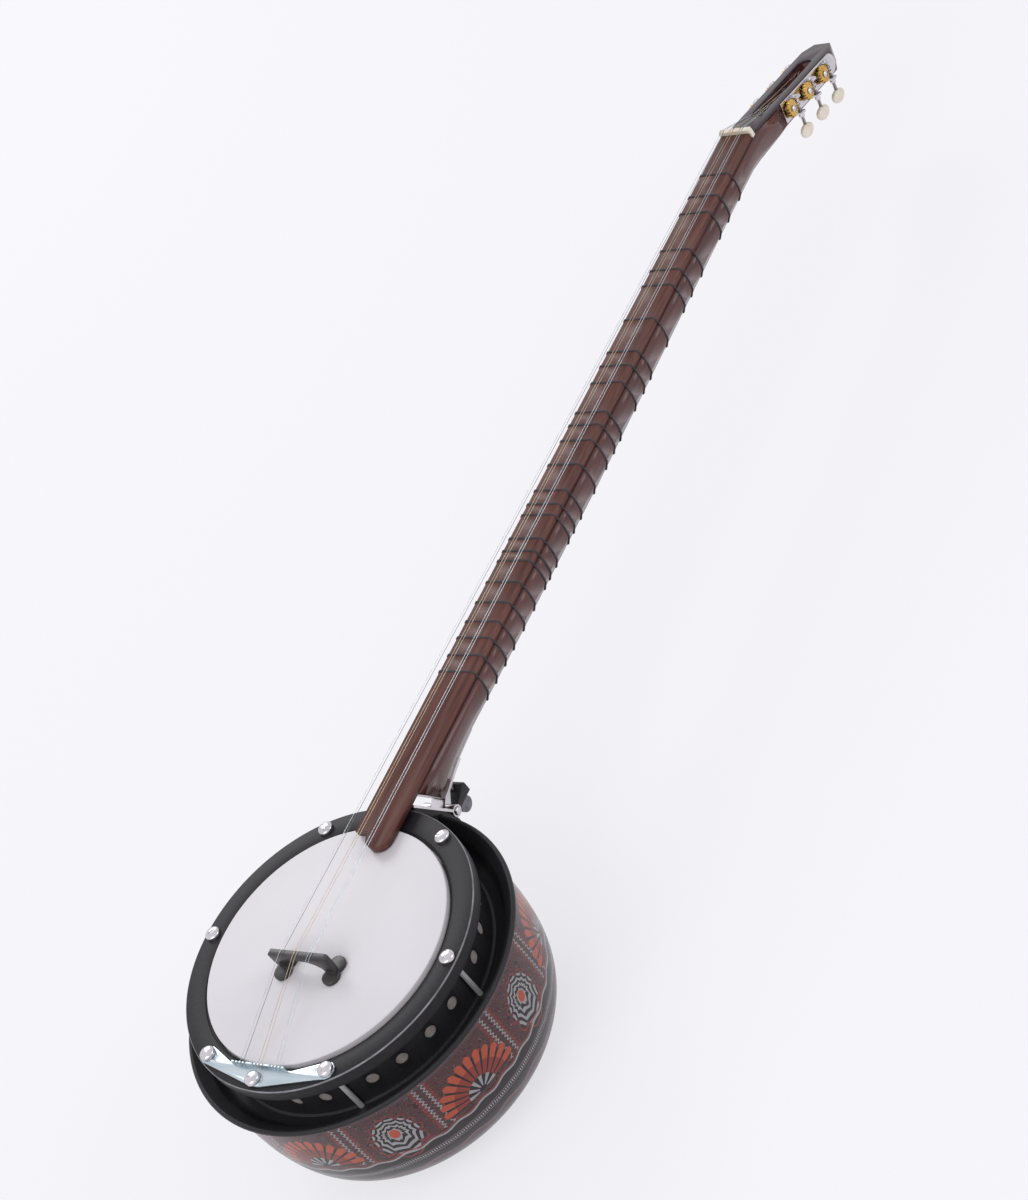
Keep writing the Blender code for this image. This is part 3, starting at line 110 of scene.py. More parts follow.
bpy.ops.mesh.primitive_plane_add(size=80, location=(0, 0.4, -0.0004))
floor = bpy.context.object
floor.name = "floor"
paper = bpy.data.materials.new("floor_paper")
paper.use_nodes = True
tree = paper.node_tree
tree.nodes["Principled BSDF"].inputs["Base Color"].default_value = (0.93, 0.92, 0.95, 1)
tree.nodes["Principled BSDF"].inputs["Roughness"].default_value = 0.9
glow = tree.nodes.new("ShaderNodeEmission")
glow.inputs["Color"].default_value = BACKDROP
share = tree.nodes.new("ShaderNodeMath")
share.operation = "MULTIPLY"
share.inputs[1].default_value = 0.70
tree.links.new(seen_directly(tree), share.inputs[0])
mix = tree.nodes.new("ShaderNodeMixShader")
tree.links.new(share.outputs[0], mix.inputs[0])
tree.links.new(tree.nodes["Principled BSDF"].outputs[0], mix.inputs[1])
tree.links.new(glow.outputs[0], mix.inputs[2])
tree.links.new(mix.outputs[0], tree.nodes["Material Output"].inputs[0])
floor.data.materials.append(paper)

for name, place, size, power in (
    ("key", (0.2, -1.6, 2.0), 1.6, 20),
    ("fill", (2.2, 1.2, 1.4), 1.4, 12),
    ("back", (-1.8, 1.4, 1.6), 1.2, 14),
):
    lamp = bpy.data.objects.new(name, bpy.data.lights.new(name, "AREA"))
    scene.collection.objects.link(lamp)
    lamp.data.size = size
    lamp.data.energy = power
    lamp.location = place
    lamp.rotation_euler = (Vector((0, 0.3, 0.1)) - Vector(place)).to_track_quat("-Z", "Y").to_euler()


# Resonator bowl: one spun aluminium shell with a glossy folk print, of fans and palmettes
# between toothed columns, over a wavy ribbon and a stitched line. It ends in a flat back.
BOWL_RADIUS = 0.1297
BOWL_DEPTH = 0.1137
BOWL_WALL = 0.0012
BOWL_CUT = 0.96
BOWL_ROUNDING = 0.53
RING_SPREAD = 1.6  # brings the outline's points closer together near the rim
PRINT_CELLS = 12
PRINT_TURN = 24.3  # turns the cells round the bowl, and keeps their count above zero
CELL_WIDTH = 2 * math.pi * BOWL_RADIUS / PRINT_CELLS
BORDER_Z = 0.0620  # lower edge of the figured band
FAN_Z = 0.0660
FAN_REACH = 0.0305
FAN_PETALS = 12.0
PETAL_SWELL = 0.0045
HALF_FAN_REACH = 0.0125
PALMETTE_Z = 0.0850
PALMETTE_REACH = 0.0168
PALMETTE_LOBES = 5.0
LOBE_SWELL = 0.0050
COLUMN_REACH = 0.0265
COLUMN_LINE = 0.0007
THIN_LINE = 0.0006
RIBBON_Z = 0.0585
STITCH_Z = 0.0470
SEAM_GAP = 0.0026
LOW_WAVE_Z = 0.0340
LOWEST_Z = 0.0180
RIM_SHEEN_Z = 0.1085
PRINT_DARK = (0.013, 0.009, 0.011)
PRINT_RED = (0.27, 0.036, 0.024)
PRINT_ORANGE = (0.47, 0.082, 0.036)
PRINT_SILVER = (0.36, 0.35, 0.36)
PRINT_WINE = (0.026, 0.011, 0.014)
PRINT_PINK = (0.21, 0.155, 0.165)
PRINT_GRIME = (0.022, 0.015, 0.018)
BODY_OF = {node: body for body, nodes in frame["record"]["behaviour"]["bodies"].items() for node in nodes}
STRETCHED = [f"string_{i}" for i in range(1, 7)]  # tied to the body at one end and to the neck at the other


class Field:
    """A number that a material works out at each point of the surface."""

    def __init__(self, tree, socket):
        self.tree, self.socket = tree, socket

    def calc(self, operation, *others):
        made = self.tree.nodes.new("ShaderNodeMath")
        made.operation = operation
        for value, entry in zip((self, *others), made.inputs):
            if isinstance(value, Field):
                self.tree.links.new(value.socket, entry)
            else:
                entry.default_value = value
        return Field(self.tree, made.outputs[0])

    def __add__(self, other):
        return self.calc("ADD", other)

    def __sub__(self, other):
        return self.calc("SUBTRACT", other)

    def __mul__(self, other):
        return self.calc("MULTIPLY", other)

    def __lt__(self, other):
        return self.calc("LESS_THAN", other)

    def __gt__(self, other):
        return self.calc("GREATER_THAN", other)


def coordinates(tree):
    """The point's x, y and z on the object."""
    source = tree.nodes.new("ShaderNodeTexCoord")
    parts = tree.nodes.new("ShaderNodeSeparateXYZ")
    tree.links.new(source.outputs["Object"], parts.inputs[0])
    return [Field(tree, socket) for socket in parts.outputs]


def noise(tree, scale, stretch=(1, 1, 1), detail=5):
    """Soft clouds over the object, squeezed along each axis by stretch."""
    source = tree.nodes.new("ShaderNodeTexCoord")
    mapping = tree.nodes.new("ShaderNodeMapping")
    mapping.inputs["Scale"].default_value = stretch
    tree.links.new(source.outputs["Object"], mapping.inputs["Vector"])
    made = tree.nodes.new("ShaderNodeTexNoise")
    made.inputs["Scale"].default_value = scale
    made.inputs["Detail"].default_value = detail
    tree.links.new(mapping.outputs[0], made.inputs["Vector"])
    return Field(tree, made.outputs[0])


def blended(tree, share, low, high):
    """A colour between two others; each is a colour or a socket."""
    made = tree.nodes.new("ShaderNodeMix")
    made.data_type = "RGBA"
    tree.links.new(share.socket, made.inputs[0])
    for entry, value in ((made.inputs[6], low), (made.inputs[7], high)):
        if isinstance(value, tuple):
            entry.default_value = (*value, 1)
        else:
            tree.links.new(value, entry)
    return made.outputs[2]


def surface(name, low, high, rough, metal=0.0, scale=40.0, stretch=(1, 1, 1), relief=0.0, depth=0.0002,
            grain=None, coat=0.0, swing=0.15, gloss=0.5):
    """A finish whose colour and roughness wander as the real one's do, with its fine relief."""
    made = bpy.data.materials.new(name)
    made.use_nodes = True
    tree = made.node_tree
    skin = tree.nodes["Principled BSDF"]
    skin.inputs["Metallic"].default_value = metal
    skin.inputs["Coat Weight"].default_value = coat
    skin.inputs["Coat Roughness"].default_value = 0.12
    skin.inputs["Specular IOR Level"].default_value = gloss
    wander = noise(tree, scale, stretch)
    tree.links.new(blended(tree, (wander - 0.5) * 2.2 + 0.5, low, high), skin.inputs["Base Color"])
    tree.links.new(((wander - 0.5) * swing + rough).socket, skin.inputs["Roughness"])
    if relief:
        bump = tree.nodes.new("ShaderNodeBump")
        bump.inputs["Strength"].default_value = relief
        bump.inputs["Distance"].default_value = depth
        tree.links.new((noise(tree, grain, stretch, 3) if grain else wander).socket, bump.inputs["Height"])
        tree.links.new(bump.outputs[0], skin.inputs["Normal"])
    return made


def clear_selection(item=None):
    """Deselects everything, then picks the one item that is given."""
    bpy.ops.object.select_all(action="DESELECT")
    if item:
        item.select_set(True)
        bpy.context.view_layer.objects.active = item


def settle(piece, node, finish, sharp=35):
    """Gives a piece its surface, smooths it, and puts it in the CAD node's stead."""
    clear_selection(piece)
    bpy.ops.object.shade_smooth_by_angle(angle=math.radians(sharp))
    piece.data.materials.clear()
    piece.data.materials.append(finish)
    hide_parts(node)
    if node not in STRETCHED:
        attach(piece, BODY_OF[node])
    return piece


def spun(name, profile, steps=144):
    """A ring of edges set to a closed profile of (radius, z) points, spun in edit mode."""
    clear_selection()
    bpy.ops.mesh.primitive_circle_add(vertices=len(profile), radius=0.01)
    piece = bpy.context.object
    piece.name = name
    for vertex, (radius, z) in zip(piece.data.vertices, profile):
        vertex.co = (radius, 0, z)
    bpy.ops.object.mode_set(mode="EDIT")
    bpy.ops.mesh.select_all(action="SELECT")
    bpy.ops.mesh.spin(steps=steps, angle=2 * math.pi, center=(0, 0, 0), axis=(0, 0, 1))
    bpy.ops.mesh.select_all(action="SELECT")
    bpy.ops.mesh.remove_doubles(threshold=0.000004)
    bpy.ops.mesh.delete_loose()
    bpy.ops.mesh.select_all(action="SELECT")
    bpy.ops.mesh.normals_make_consistent(inside=False)
    bpy.ops.object.mode_set(mode="OBJECT")
    return piece


def bowl_line(inset, rings=40):
    """The bowl's outline from rim to flat back, closer together where it starts; inset goes in from its skin."""
    last = math.asin(BOWL_CUT ** 2)
    points = []
    for i in range(rings + 1):
        angle = last * (i / rings) ** RING_SPREAD
        radius = BOWL_RADIUS * math.cos(angle) ** BOWL_ROUNDING - inset
        z = BOWL_DEPTH * (1 - math.sqrt(math.sin(angle)) / BOWL_CUT)
        points.append((radius, max(z, 0) + (inset if i > rings * 0.6 else inset * i / rings)))
    return points


def print_material():
    """The folk print, worked out round the bowl in cells and up it in bands, with a painted sheen below the rim."""
    made = surface("bowl_print", PRINT_DARK, (0.028, 0.018, 0.022), 0.26, scale=70, relief=0.15, depth=0.0001,
                   grain=420, coat=0.1, gloss=0.3)
    tree = made.node_tree
    skin = tree.nodes["Principled BSDF"]
    x, y, z = coordinates(tree)
    around = y.calc("ARCTAN2", x) * (PRINT_CELLS / (2 * math.pi)) + PRINT_TURN
    across = (around.calc("FRACT") - 0.5) * CELL_WIDTH
    odd = around.calc("FLOOR").calc("MODULO", 2.0) > 0.5
    even = odd.calc("MULTIPLY_ADD", -1.0, 1.0)
    figured = z > BORDER_Z

    up = z - FAN_Z
    reach = (across * across + up * up).calc("SQRT")
    turn = up.calc("ARCTAN2", across)
    petals = (turn * FAN_PETALS).calc("SINE").calc("ABSOLUTE")
    above = (up > -0.0005) * odd
    fan = (reach < petals * PETAL_SWELL + FAN_REACH) * above
    fan_tips = fan * (reach > 0.0240)
    fan_ribs = (petals < 0.42) * fan * (reach > 0.0120)
    half_fan = (reach < HALF_FAN_REACH) * above
    half_ribs = ((turn * 11.0).calc("SINE") > 0.15) * half_fan * (reach > 0.0035)

    rise = z - PALMETTE_Z
    spread = across.calc("ABSOLUTE")
    drop = (spread * spread * 1.5 + rise * rise).calc("SQRT") + rise * 0.25
    twist = rise.calc("ARCTAN2", spread - 0.004)
    lobes = (twist * PALMETTE_LOBES).calc("SINE").calc("ABSOLUTE")
    palmette = (drop < lobes * LOBE_SWELL + PALMETTE_REACH) * even
    scroll = (((drop * 1300.0) + lobes * 2.4).calc("SINE") > 0.05) * palmette
    outline = ((drop - lobes * LOBE_SWELL - PALMETTE_REACH - 0.0020).calc("ABSOLUTE") < THIN_LINE) * even
    bud = (drop < 0.0045) * even

    tendrils = (noise(tree, 120, detail=1) * 16.0).calc("FRACT")
    vine = ((tendrils - 0.5).calc("ABSOLUTE") < 0.07) * figured
    vine_pale = ((tendrils - 0.9).calc("ABSOLUTE") < 0.06) * figured

    teeth = ((z * 260.0).calc("FRACT") - 0.5).calc("ABSOLUTE") * 0.0050
    column = ((spread - teeth - COLUMN_REACH).calc("ABSOLUTE") < COLUMN_LINE) * figured
    column_two = ((spread - teeth - COLUMN_REACH - 0.0027).calc("ABSOLUTE") < COLUMN_LINE) * figured

    wave = (around * (2 * math.pi * 3.0)).calc("SINE") * 0.0011
    ribbon = (z - wave - RIBBON_Z).calc("ABSOLUTE") < 0.0010
    ribbon_red = (z - wave - RIBBON_Z - 0.0023).calc("ABSOLUTE") < THIN_LINE
    stitches = ((z - wave * 0.3 - STITCH_Z).calc("ABSOLUTE") < 0.0014) * ((around * 34.0).calc("FRACT") > 0.5)
    seams = ((z - STITCH_Z).calc("ABSOLUTE") - SEAM_GAP).calc("ABSOLUTE") < 0.0004
    low_wave = (around * (2 * math.pi * 2.0)).calc("SINE") * 0.0016
    low_line = (z - low_wave - LOW_WAVE_Z).calc("ABSOLUTE") < 0.0007
    low_red = (z - low_wave - LOW_WAVE_Z + 0.0025).calc("ABSOLUTE") < THIN_LINE
    lowest = (z - LOWEST_Z).calc("ABSOLUTE") < THIN_LINE

    colour = skin.inputs["Base Color"].links[0].from_socket
    for share, tone in (
        (figured, PRINT_WINE), (vine, PRINT_RED), (vine_pale, PRINT_PINK), (column, PRINT_RED),
        (column_two, PRINT_SILVER), (fan, PRINT_RED), (fan_tips, PRINT_ORANGE), (fan_ribs, PRINT_DARK),
        (half_fan, PRINT_DARK), (half_ribs, PRINT_SILVER),
        (palmette, PRINT_DARK), (scroll, PRINT_SILVER), (outline, PRINT_RED), (bud, PRINT_ORANGE),
        (ribbon, PRINT_SILVER), (ribbon_red, PRINT_RED), (stitches, PRINT_SILVER), (seams, PRINT_PINK),
        (low_line, PRINT_PINK), (low_red, PRINT_RED), (lowest, PRINT_PINK),
    ):
        colour = blended(tree, share, colour, tone)
    wear = noise(tree, 900, detail=2).calc("MULTIPLY_ADD", 0.6, -0.14)
    colour = blended(tree, wear, colour, PRINT_GRIME)
    # Painted highlight: a pinkish sheen lightens the bowl's top few millimetres, just under the ring.
    rim = ((z - RIM_SHEEN_Z) * 160.0).calc("MAXIMUM", 0.0).calc("MINIMUM", 0.5)
    tree.links.new(blended(tree, rim, colour, (0.16, 0.10, 0.12)), skin.inputs["Base Color"])
    return made


outer = bowl_line(0.0)
inner = bowl_line(BOWL_WALL)
bowl = spun("bowl_shell", [*outer, (0, 0), (0, BOWL_WALL), *reversed(inner)], 160)
settle(bowl, "resonator_bowl", print_material(), 40)
bare_inside = surface("bowl_inside", (0.32, 0.30, 0.30), (0.42, 0.40, 0.39), 0.45, 1.0, 30)
bowl.data.materials.append(bare_inside)
for face in bowl.data.polygons:
    out = Vector((face.center.x, face.center.y, (face.center.z - BOWL_DEPTH) * 0.8))
    if face.normal.dot(out) < 0:
        face.material_index = 1


# Pot ring: one black crinkle-painted casting. It carries the skin's bearing edge, the wall
# with its sound holes, and a rolled flange that seats on the bowl's rim.
WALL_RADIUS = 0.1100
GUTTER_Z = 0.1048
GUTTER_EDGE = 0.1255
FLANGE_RADIUS = 0.1369
BEAD_RADIUS = 0.0022
BEAD_Z = 0.1198
SHELF_TOP = 0.1370
BEARING_RADIUS = 0.0992
BEARING_TOP = 0.1521
SPIGOT_RADIUS = 0.1282
BOWL_SEAT = 0.1140
HOLE_Z = 0.1220
HOLE_RADIUS = 0.0048
HOLE_OFFSETS = (-20, -7, 7, 20)
DISC_RADIUS = 0.1084


def joined(items):
    """One object made of several."""
    clear_selection()
    for item in items:
        item.select_set(True)
    bpy.context.view_layer.objects.active = items[0]
    bpy.ops.object.join()
    return bpy.context.object


def cut(piece, cutters):
    """Takes several solids out of a piece at once."""
    tool = joined(cutters)
    clear_selection(piece)
    step = piece.modifiers.new("cut", "BOOLEAN")
    step.solver = "EXACT"
    step.object = tool
    bpy.ops.object.modifier_apply(modifier="cut")
    bpy.data.objects.remove(tool)


bead = [(FLANGE_RADIUS - BEAD_RADIUS + BEAD_RADIUS * math.cos(math.radians(a)),
         BEAD_Z + BEAD_RADIUS * math.sin(math.radians(a))) for a in range(130, -131, -20)]
ring_profile = [
    (BEARING_RADIUS - 0.003, BEARING_TOP - 0.001), (BEARING_RADIUS - 0.002, BEARING_TOP),
    (BEARING_RADIUS - 0.001, BEARING_TOP), (BEARING_RADIUS, BEARING_TOP - 0.001), (BEARING_RADIUS, SHELF_TOP),
    (WALL_RADIUS - 0.0010, SHELF_TOP), (WALL_RADIUS - 0.0003, SHELF_TOP - 0.0003), (WALL_RADIUS, SHELF_TOP - 0.0010),
    (WALL_RADIUS, GUTTER_Z + 0.0025), (WALL_RADIUS + 0.0007, GUTTER_Z + 0.0009), (WALL_RADIUS + 0.0025, GUTTER_Z),
    (GUTTER_EDGE - 0.0068, GUTTER_Z + 0.0010), (GUTTER_EDGE - 0.0045, GUTTER_Z + 0.0022),
    (GUTTER_EDGE - 0.0028, GUTTER_Z + 0.0042), (GUTTER_EDGE - 0.0010, 0.1120), (GUTTER_EDGE, 0.1140),
    (GUTTER_EDGE + 0.0008, 0.1150), (GUTTER_EDGE + 0.0040, 0.1170), *bead, (BOWL_RADIUS + 0.0005, BOWL_SEAT),
    (SPIGOT_RADIUS, BOWL_SEAT), (SPIGOT_RADIUS, BOWL_SEAT - 0.008), (SPIGOT_RADIUS - 0.002, BOWL_SEAT - 0.008),
    (SPIGOT_RADIUS - 0.0026, GUTTER_Z + 0.003), (GUTTER_EDGE - 0.005, GUTTER_Z - 0.0016),
    (WALL_RADIUS + 0.002, GUTTER_Z - 0.003), (WALL_RADIUS - 0.0025, GUTTER_Z - 0.003),
    (WALL_RADIUS - 0.0035, GUTTER_Z - 0.001), (WALL_RADIUS - 0.0035, SHELF_TOP - 0.003),
    (BEARING_RADIUS - 0.003, SHELF_TOP - 0.003),
]
ring = spun("ring_casting", ring_profile)
drills, discs = [], []
for sector in range(6):
    for offset in HOLE_OFFSETS:
        angle = 30 + 60 * sector + offset
        if abs(angle - 90) > 10:
            spin = math.radians(angle)
            clear_selection()
            bpy.ops.mesh.primitive_cylinder_add(
                vertices=28, radius=HOLE_RADIUS, depth=0.012, rotation=(0, math.pi / 2, spin),
                location=(WALL_RADIUS * math.cos(spin), WALL_RADIUS * math.sin(spin), HOLE_Z))
            drills.append(bpy.context.object)
            clear_selection()
            bpy.ops.mesh.primitive_cylinder_add(
                vertices=28, radius=HOLE_RADIUS + 0.0003, depth=0.0010, rotation=(0, math.pi / 2, spin),
                location=(DISC_RADIUS * math.cos(spin), DISC_RADIUS * math.sin(spin), HOLE_Z))
            discs.append(bpy.context.object)
cut(ring, drills)
crinkle = surface("crinkle_black", (0.012, 0.012, 0.013), (0.024, 0.023, 0.026), 0.42, scale=900, relief=0.55,
                  depth=0.0004, grain=1500, gloss=0.25)
settle(ring, "pot_ring", crinkle, 32)

# Each sound hole is backed by a warm grey disc in the wall, its grey partly the bowl's bare metal and partly painted
# light.
painted_light_discs = joined(discs)
painted_light_discs.name = "sound_hole_discs"
clear_selection(painted_light_discs)
bpy.ops.object.transform_apply(location=True, rotation=True, scale=True)
edge = painted_light_discs.modifiers.new("edge", "BEVEL")
edge.width = 0.0003
bpy.ops.object.modifier_apply(modifier="edge")
# Warm grey partly painted light: the bowl's inside as if lit through the head.
painted_light_discs.data.materials.append(surface("hole_painted_lit_inside", (0.30, 0.26, 0.24), (0.46, 0.41, 0.38), 0.8, scale=500, relief=0.3,
                                   depth=0.0001))
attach(painted_light_discs, BODY_OF["pot_ring"])


# Drum head and flesh hoop: a pale translucent film lapped round a steel hoop, with faint
# clouding and handling marks.
HEAD_RADIUS = 0.1001
HEAD_TOP = 0.1530
HOOP_TOP = 0.1500
LIP_OUTER = 0.1040
LIP_Z = HOOP_TOP - 0.0052
LAP_Z = LIP_Z - 0.0052
FILM = 0.0006
NODES = frame["nodes"]


def finished(node, finish, sharp=40, bevel=0.0):
    """A welded copy of a CAD node with its edges broken as a file would break them."""
    piece = bpy.data.objects.new(f"{node}_made", NODES[node].data.copy())
    scene.collection.objects.link(piece)
    clear_selection(piece)
    bpy.ops.object.mode_set(mode="EDIT")
    bpy.ops.mesh.select_all(action="SELECT")
    bpy.ops.mesh.remove_doubles(threshold=0.00001)
    if bevel:
        bpy.ops.mesh.dissolve_limited(angle_limit=math.radians(0.6))
    bpy.ops.object.mode_set(mode="OBJECT")
    if bevel:
        edge = piece.modifiers.new("edge", "BEVEL")
        edge.width = bevel
        edge.segments = 2
        edge.limit_method = "ANGLE"
        edge.angle_limit = math.radians(40)
        bpy.ops.object.modifier_apply(modifier="edge")
    return settle(piece, node, finish, sharp)


head = spun("skin_film", [
    (0, HEAD_TOP), (HEAD_RADIUS - 0.0010, HEAD_TOP), (HEAD_RADIUS - 0.0004, HEAD_TOP - 0.0002),
    (HEAD_RADIUS, HEAD_TOP - 0.0008), (HEAD_RADIUS, LAP_Z), (LIP_OUTER - 0.0003, LAP_Z),
    (LIP_OUTER - 0.0003, LAP_Z - FILM), (HEAD_RADIUS - FILM, LAP_Z - FILM),
    (HEAD_RADIUS - FILM, HEAD_TOP - FILM), (0, HEAD_TOP - FILM)])
film = surface("skin_film", (0.73, 0.70, 0.73), (0.81, 0.785, 0.815), 0.42, scale=9, relief=0.12, depth=0.0001,
               grain=260)
settle(head, "drum_head", film, 32)
dark_steel = surface("dark_steel", (0.10, 0.10, 0.11), (0.24, 0.24, 0.26), 0.35, 1.0, 120, relief=0.1, grain=900)
finished("flesh_hoop", dark_steel)


# Tension hoop: a charcoal-painted ring whose lip pulls the flesh hoop down, with a painted
# highlight along its outer edge.
HOOP_RADIUS = 0.1200
HOOP_BORE = 0.1010
HOOP_DEPTH = 0.0105
HOOP_SKIRT = 0.0025
HOOP_PLATE = 0.0030


def hoop_material():
    """Charcoal paint, with a painted highlight in patches along the outer top edge."""
    made = surface("hoop_paint", (0.009, 0.008, 0.010), (0.020, 0.018, 0.022), 0.42, scale=260, relief=0.2,
                   depth=0.0002, grain=700, gloss=0.22)
    tree = made.node_tree
    skin = tree.nodes["Principled BSDF"]
    x, y, z = coordinates(tree)
    radius = (x * x + y * y).calc("SQRT")
    # Painted highlight: the rounded outer top edge turns pale grey in noisy patches.
    edge_highlight_band = (radius > HOOP_RADIUS - 0.0006) * (z > HOOP_TOP - 0.0012)
    colour = skin.inputs["Base Color"].links[0].from_socket
    painted_edge_highlight = edge_highlight_band * (noise(tree, 90) * 1.3).calc("MINIMUM", 1.0)
    tree.links.new(blended(tree, painted_edge_highlight, colour, (0.36, 0.35, 0.38)), skin.inputs["Base Color"])
    return made


hoop = spun("hoop_ring", [
    (HOOP_BORE, LIP_Z), (HOOP_BORE, HOOP_TOP - 0.0014), (0.1028, HOOP_TOP - 0.0007), (0.1031, HOOP_TOP - 0.0001),
    (0.1034, HOOP_TOP), (HOOP_RADIUS - 0.0008, HOOP_TOP), (HOOP_RADIUS - 0.0002, HOOP_TOP - 0.0002),
    (HOOP_RADIUS, HOOP_TOP - 0.0008), (HOOP_RADIUS, HOOP_TOP - HOOP_DEPTH),
    (HOOP_RADIUS - HOOP_SKIRT, HOOP_TOP - HOOP_DEPTH), (HOOP_RADIUS - HOOP_SKIRT, HOOP_TOP - HOOP_PLATE),
    (LIP_OUTER, HOOP_TOP - HOOP_PLATE), (LIP_OUTER, LIP_Z)])
settle(hoop, "tension_hoop", hoop_material(), 32)


# Tension bolts: seven plated bolts with domed, slotted heads. The two at the tailpiece's
# ends also hold it down, and a short one holds its middle.
BOLT_HEAD_RADIUS = 0.0060
BOLT_HEAD_HEIGHT = 0.0040
BOLT_DOME = 0.0022
BOLT_SHANK_RADIUS = 0.0020
SLIT_SIZE = (0.0015, 0.02, 0.0018)
chrome = surface("plated_chrome", (0.50, 0.48, 0.50), (0.70, 0.67, 0.70), 0.16, 1.0, 60, relief=0.06, grain=400)
zinc = surface("bolt_shank", (0.50, 0.49, 0.50), (0.66, 0.65, 0.66), 0.5, 0.35, 60, relief=0.1, grain=500)
for i in range(7):
    name = f"tension_bolt_{i + 1}"
    low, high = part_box(name)
    middle = [(a + b) / 2 for a, b in zip(low, high)]
    under = high[2] - BOLT_HEAD_HEIGHT
    dome = [(BOLT_HEAD_RADIUS * math.sin(math.radians(a)), high[2] - BOLT_DOME * (1 - math.cos(math.radians(a))))
            for a in range(0, 91, 15)]
    bolt = spun(f"{name}_made", [*dome, (BOLT_HEAD_RADIUS, under), (BOLT_SHANK_RADIUS, under),
                                  (BOLT_SHANK_RADIUS, low[2]), (0, low[2])], 32)
    clear_selection()
    bpy.ops.mesh.primitive_cube_add(size=1, location=(0, 0, high[2] + 0.0002), rotation=(0, 0, i * 1.9))
    slit = bpy.context.object
    slit.scale = SLIT_SIZE
    cut(bolt, [slit])
    bolt.data.transform(Matrix.Translation((middle[0], middle[1], 0)))
    settle(bolt, name, chrome, 38)
    bolt.data.materials.append(zinc)
    for face in bolt.data.polygons:
        if face.center.z < under - 0.0001:
            face.material_index = 1


# Tailpiece, bridge and nut: a pressed steel chevron with an upright comb, a blackened wood
# bridge on round pads, and a cream bar at the board's end.
steel = surface("pale_steel", (0.42, 0.50, 0.54), (0.62, 0.69, 0.73), 0.3, 1.0, 25, (1, 6, 1), relief=0.1, grain=500)
ebony = surface("black_wood", (0.008, 0.007, 0.007), (0.028, 0.022, 0.02), 0.38, scale=60, stretch=(1, 12, 6),
                relief=0.2, depth=0.0001, coat=0.2)
cream = surface("cream_pearl", (0.78, 0.67, 0.51), (0.90, 0.84, 0.72), 0.3, scale=160, relief=0.05, coat=0.3)
finished("tailpiece", steel, 40, 0.00018)
finished("bridge", ebony, 45, 0.0004)
finished("nut", cream, 40, 0.0002)


# Neck and fingerboard: one mahogany neck with a heel and a slotted headstock, a rosewood
# board that reaches over the head as a tongue, and a veneer on the headstock's face.
GRAIN = (30, 1.2, 30)
mahogany = surface("mahogany", (0.050, 0.013, 0.013), (0.130, 0.036, 0.032), 0.26, scale=9, stretch=GRAIN,
                   relief=0.12, depth=0.0001, coat=0.25, gloss=0.4)
rosewood = surface("rosewood", (0.062, 0.019, 0.015), (0.170, 0.062, 0.046), 0.36, scale=11, stretch=GRAIN,
                   relief=0.2, depth=0.0001, gloss=0.32)
plum = surface("headstock_veneer", (0.022, 0.014, 0.018), (0.060, 0.038, 0.048), 0.3, scale=11, stretch=GRAIN,
               relief=0.1, depth=0.0001, gloss=0.4)
finished("neck", mahogany, 50)
finished("fingerboard", rosewood, 50)
finished("headstock_veneer", plum, 40, 0.0003)


# Frets: dark thread tied twice round neck and board, at 26 places that divide the octave in
# 53 commas. Each loop lies on the low rib that the CAD keeps for it.
NUT_Y = 0.8119
STRING_LENGTH = 0.8339
FRET_COMMAS = (4.5, 7, 9, 13.5, 16, 18, 22.5, 27, 29, 31.5, 36, 38, 40.5,
               44.5, 49, 51.5, 53.5, 58, 60.5, 62.5, 67, 71.5, 76, 80, 84.5, 89)
THREAD = 0.00038
CREST_REACH = 0.0003
thread = surface("fret_thread", (0.012, 0.014, 0.018), (0.05, 0.055, 0.07), 0.6, scale=1500, relief=0.6,
                 depth=0.0002)
for number, comma in enumerate(FRET_COMMAS):
    y = NUT_Y - STRING_LENGTH * (1 - 2 ** (-comma / 53))
    crest = [(v.co.x, v.co.z) for node in ("neck", "fingerboard") for v in NODES[node].data.vertices
             if abs(v.co.y - y) < CREST_REACH]
    loop = [Vector(crest[i]) for i in geometry.convex_hull_2d(crest)]
    centre = sum(loop, Vector((0, 0))) / len(loop)
    for turn, shift in enumerate((-THREAD, THREAD)):
        curve = bpy.data.curves.new(f"fret_{number + 1}_{turn + 1}", "CURVE")
        curve.dimensions = "3D"
        curve.bevel_depth = THREAD
        curve.bevel_resolution = 2
        spline = curve.splines.new("POLY")
        spline.points.add(len(loop) - 1)
        spline.use_cyclic_u = True
        for point, co in zip(spline.points, loop):
            out = co - (co - centre).normalized() * THREAD * 0.5
            point.co = (out.x, y + shift, out.y, 1)
        tie = bpy.data.objects.new(curve.name, curve)
        scene.collection.objects.link(tie)
        clear_selection(tie)
        bpy.ops.object.convert(target="MESH")
        tie = bpy.context.object
        bpy.ops.object.shade_smooth_by_angle(angle=math.radians(60))
        tie.data.materials.append(thread)
        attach(tie, BODY_OF["neck"])


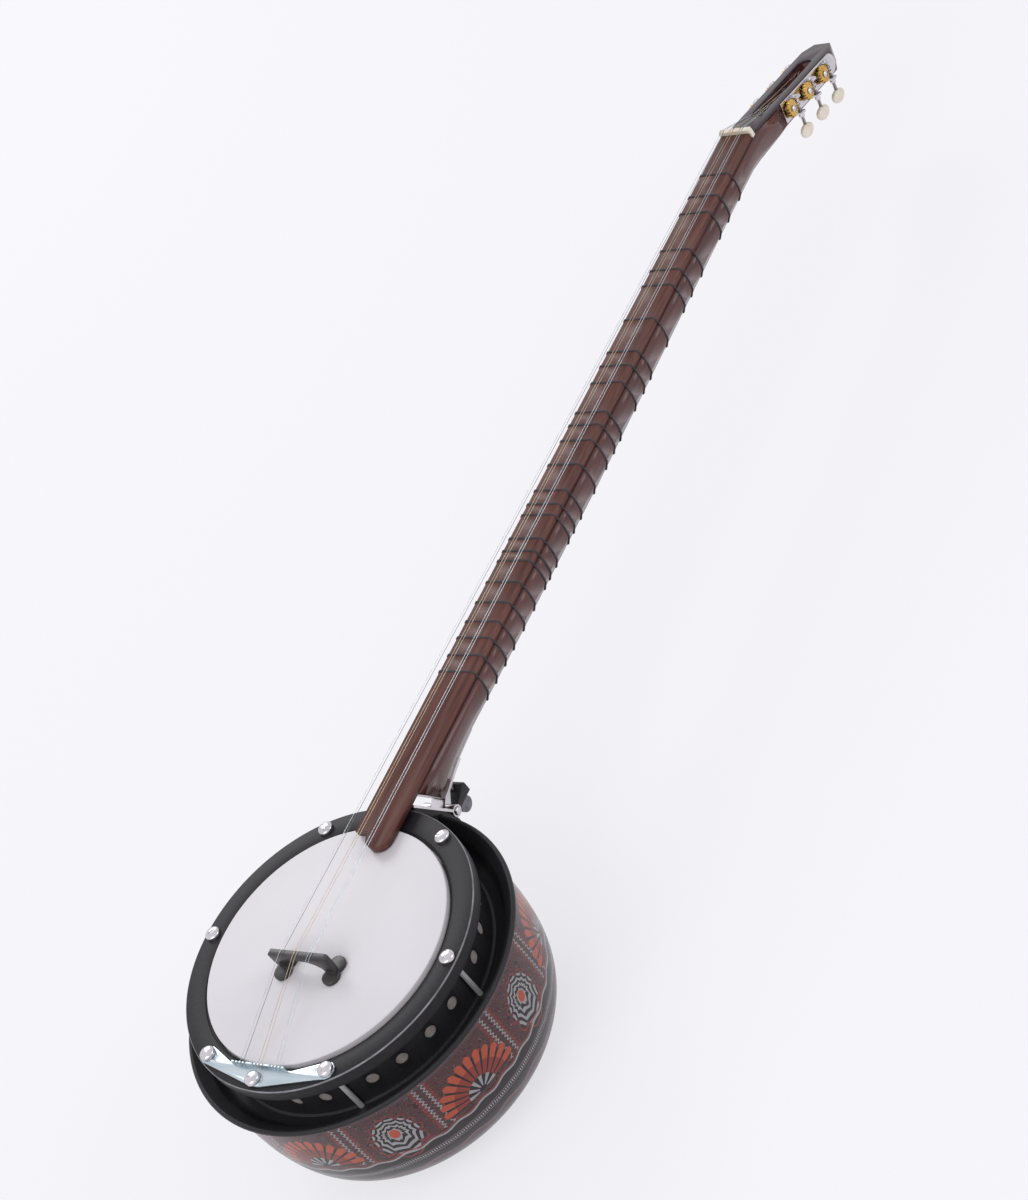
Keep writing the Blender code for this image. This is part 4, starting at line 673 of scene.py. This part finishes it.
# Hinge, bracket and adjusting screw: a black cast block bolted through the ring's wall, a
# plated hinge between rim and heel, and a grey thumb screw with a brass lock nut.
for node in ("rim_plate", "heel_strap"):
    finished(node, chrome, 35, 0.00025)
for node in ("hinge_pin", "bracket_screw_left", "bracket_screw_right", "strap_screw_1", "strap_screw_2"):
    finished(node, chrome, 40)
finished("neck_bracket", crinkle, 35, 0.0004)
finished("thumb_screw", dark_steel, 40, 0.0002)
brass = surface("brass", (0.50, 0.29, 0.06), (0.72, 0.48, 0.15), 0.25, 1.0, 90, relief=0.1, grain=700)
finished("lock_nut", brass, 35, 0.0003)


# Tuners: on each side a plate with three worms, their wheels and string rollers, and flat
# oval buttons.
BUTTON_HALF = (0.0036, 0.0095, 0.00625)
HEAD_TILT = math.radians(-15)
for side in ("left", "right"):
    finished(f"tuner_plate_{side}", chrome, 35, 0.00018)
    for k in (1, 2, 3):
        tag = f"{side}_{k}"
        finished(f"gear_{tag}", brass, 35)
        finished(f"worm_{tag}", chrome, 60)
        finished(f"roller_{tag}", chrome, 60)
        low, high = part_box(f"button_{tag}")
        clear_selection()
        bpy.ops.mesh.primitive_uv_sphere_add(segments=40, ring_count=24, radius=1)
        button = bpy.context.object
        button.name = f"button_{tag}_made"
        for vertex in button.data.vertices:
            x, y, z = vertex.co
            vertex.co = (math.copysign(abs(x) ** 0.8, x) * BUTTON_HALF[0] * 0.98, y * BUTTON_HALF[1] * 0.98,
                         z * BUTTON_HALF[2] * (0.96 - 0.06 * z))
        turn = Matrix.Rotation(HEAD_TILT, 4, "X")
        middle = Matrix.Translation([(a + b) / 2 for a, b in zip(low, high)])
        button.data.transform(middle @ turn)
        settle(button, f"button_{tag}", cream, 60)


# Strings: three pairs of steel or bronze wire, hooked in the tailpiece's comb, carried over the
# bridge and the nut, and wound on their rollers. They are attached to neither body.
STRING_SLACK = 0.00011  # the CAD's strings are this much thicker all round than the drawn wire
bronze = surface("bronze_wire", (0.46, 0.36, 0.24), (0.62, 0.52, 0.38), 0.4, 1.0, 90)
wire = {
    "string_1": steel, "string_2": dark_steel, "string_3": bronze, "string_4": bronze, "string_5": steel,
    "string_6": steel,
}
for node, metal in wire.items():
    string = finished(node, metal, 60)
    for vertex in string.data.vertices:
        vertex.co -= vertex.normal * STRING_SLACK
    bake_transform(string)
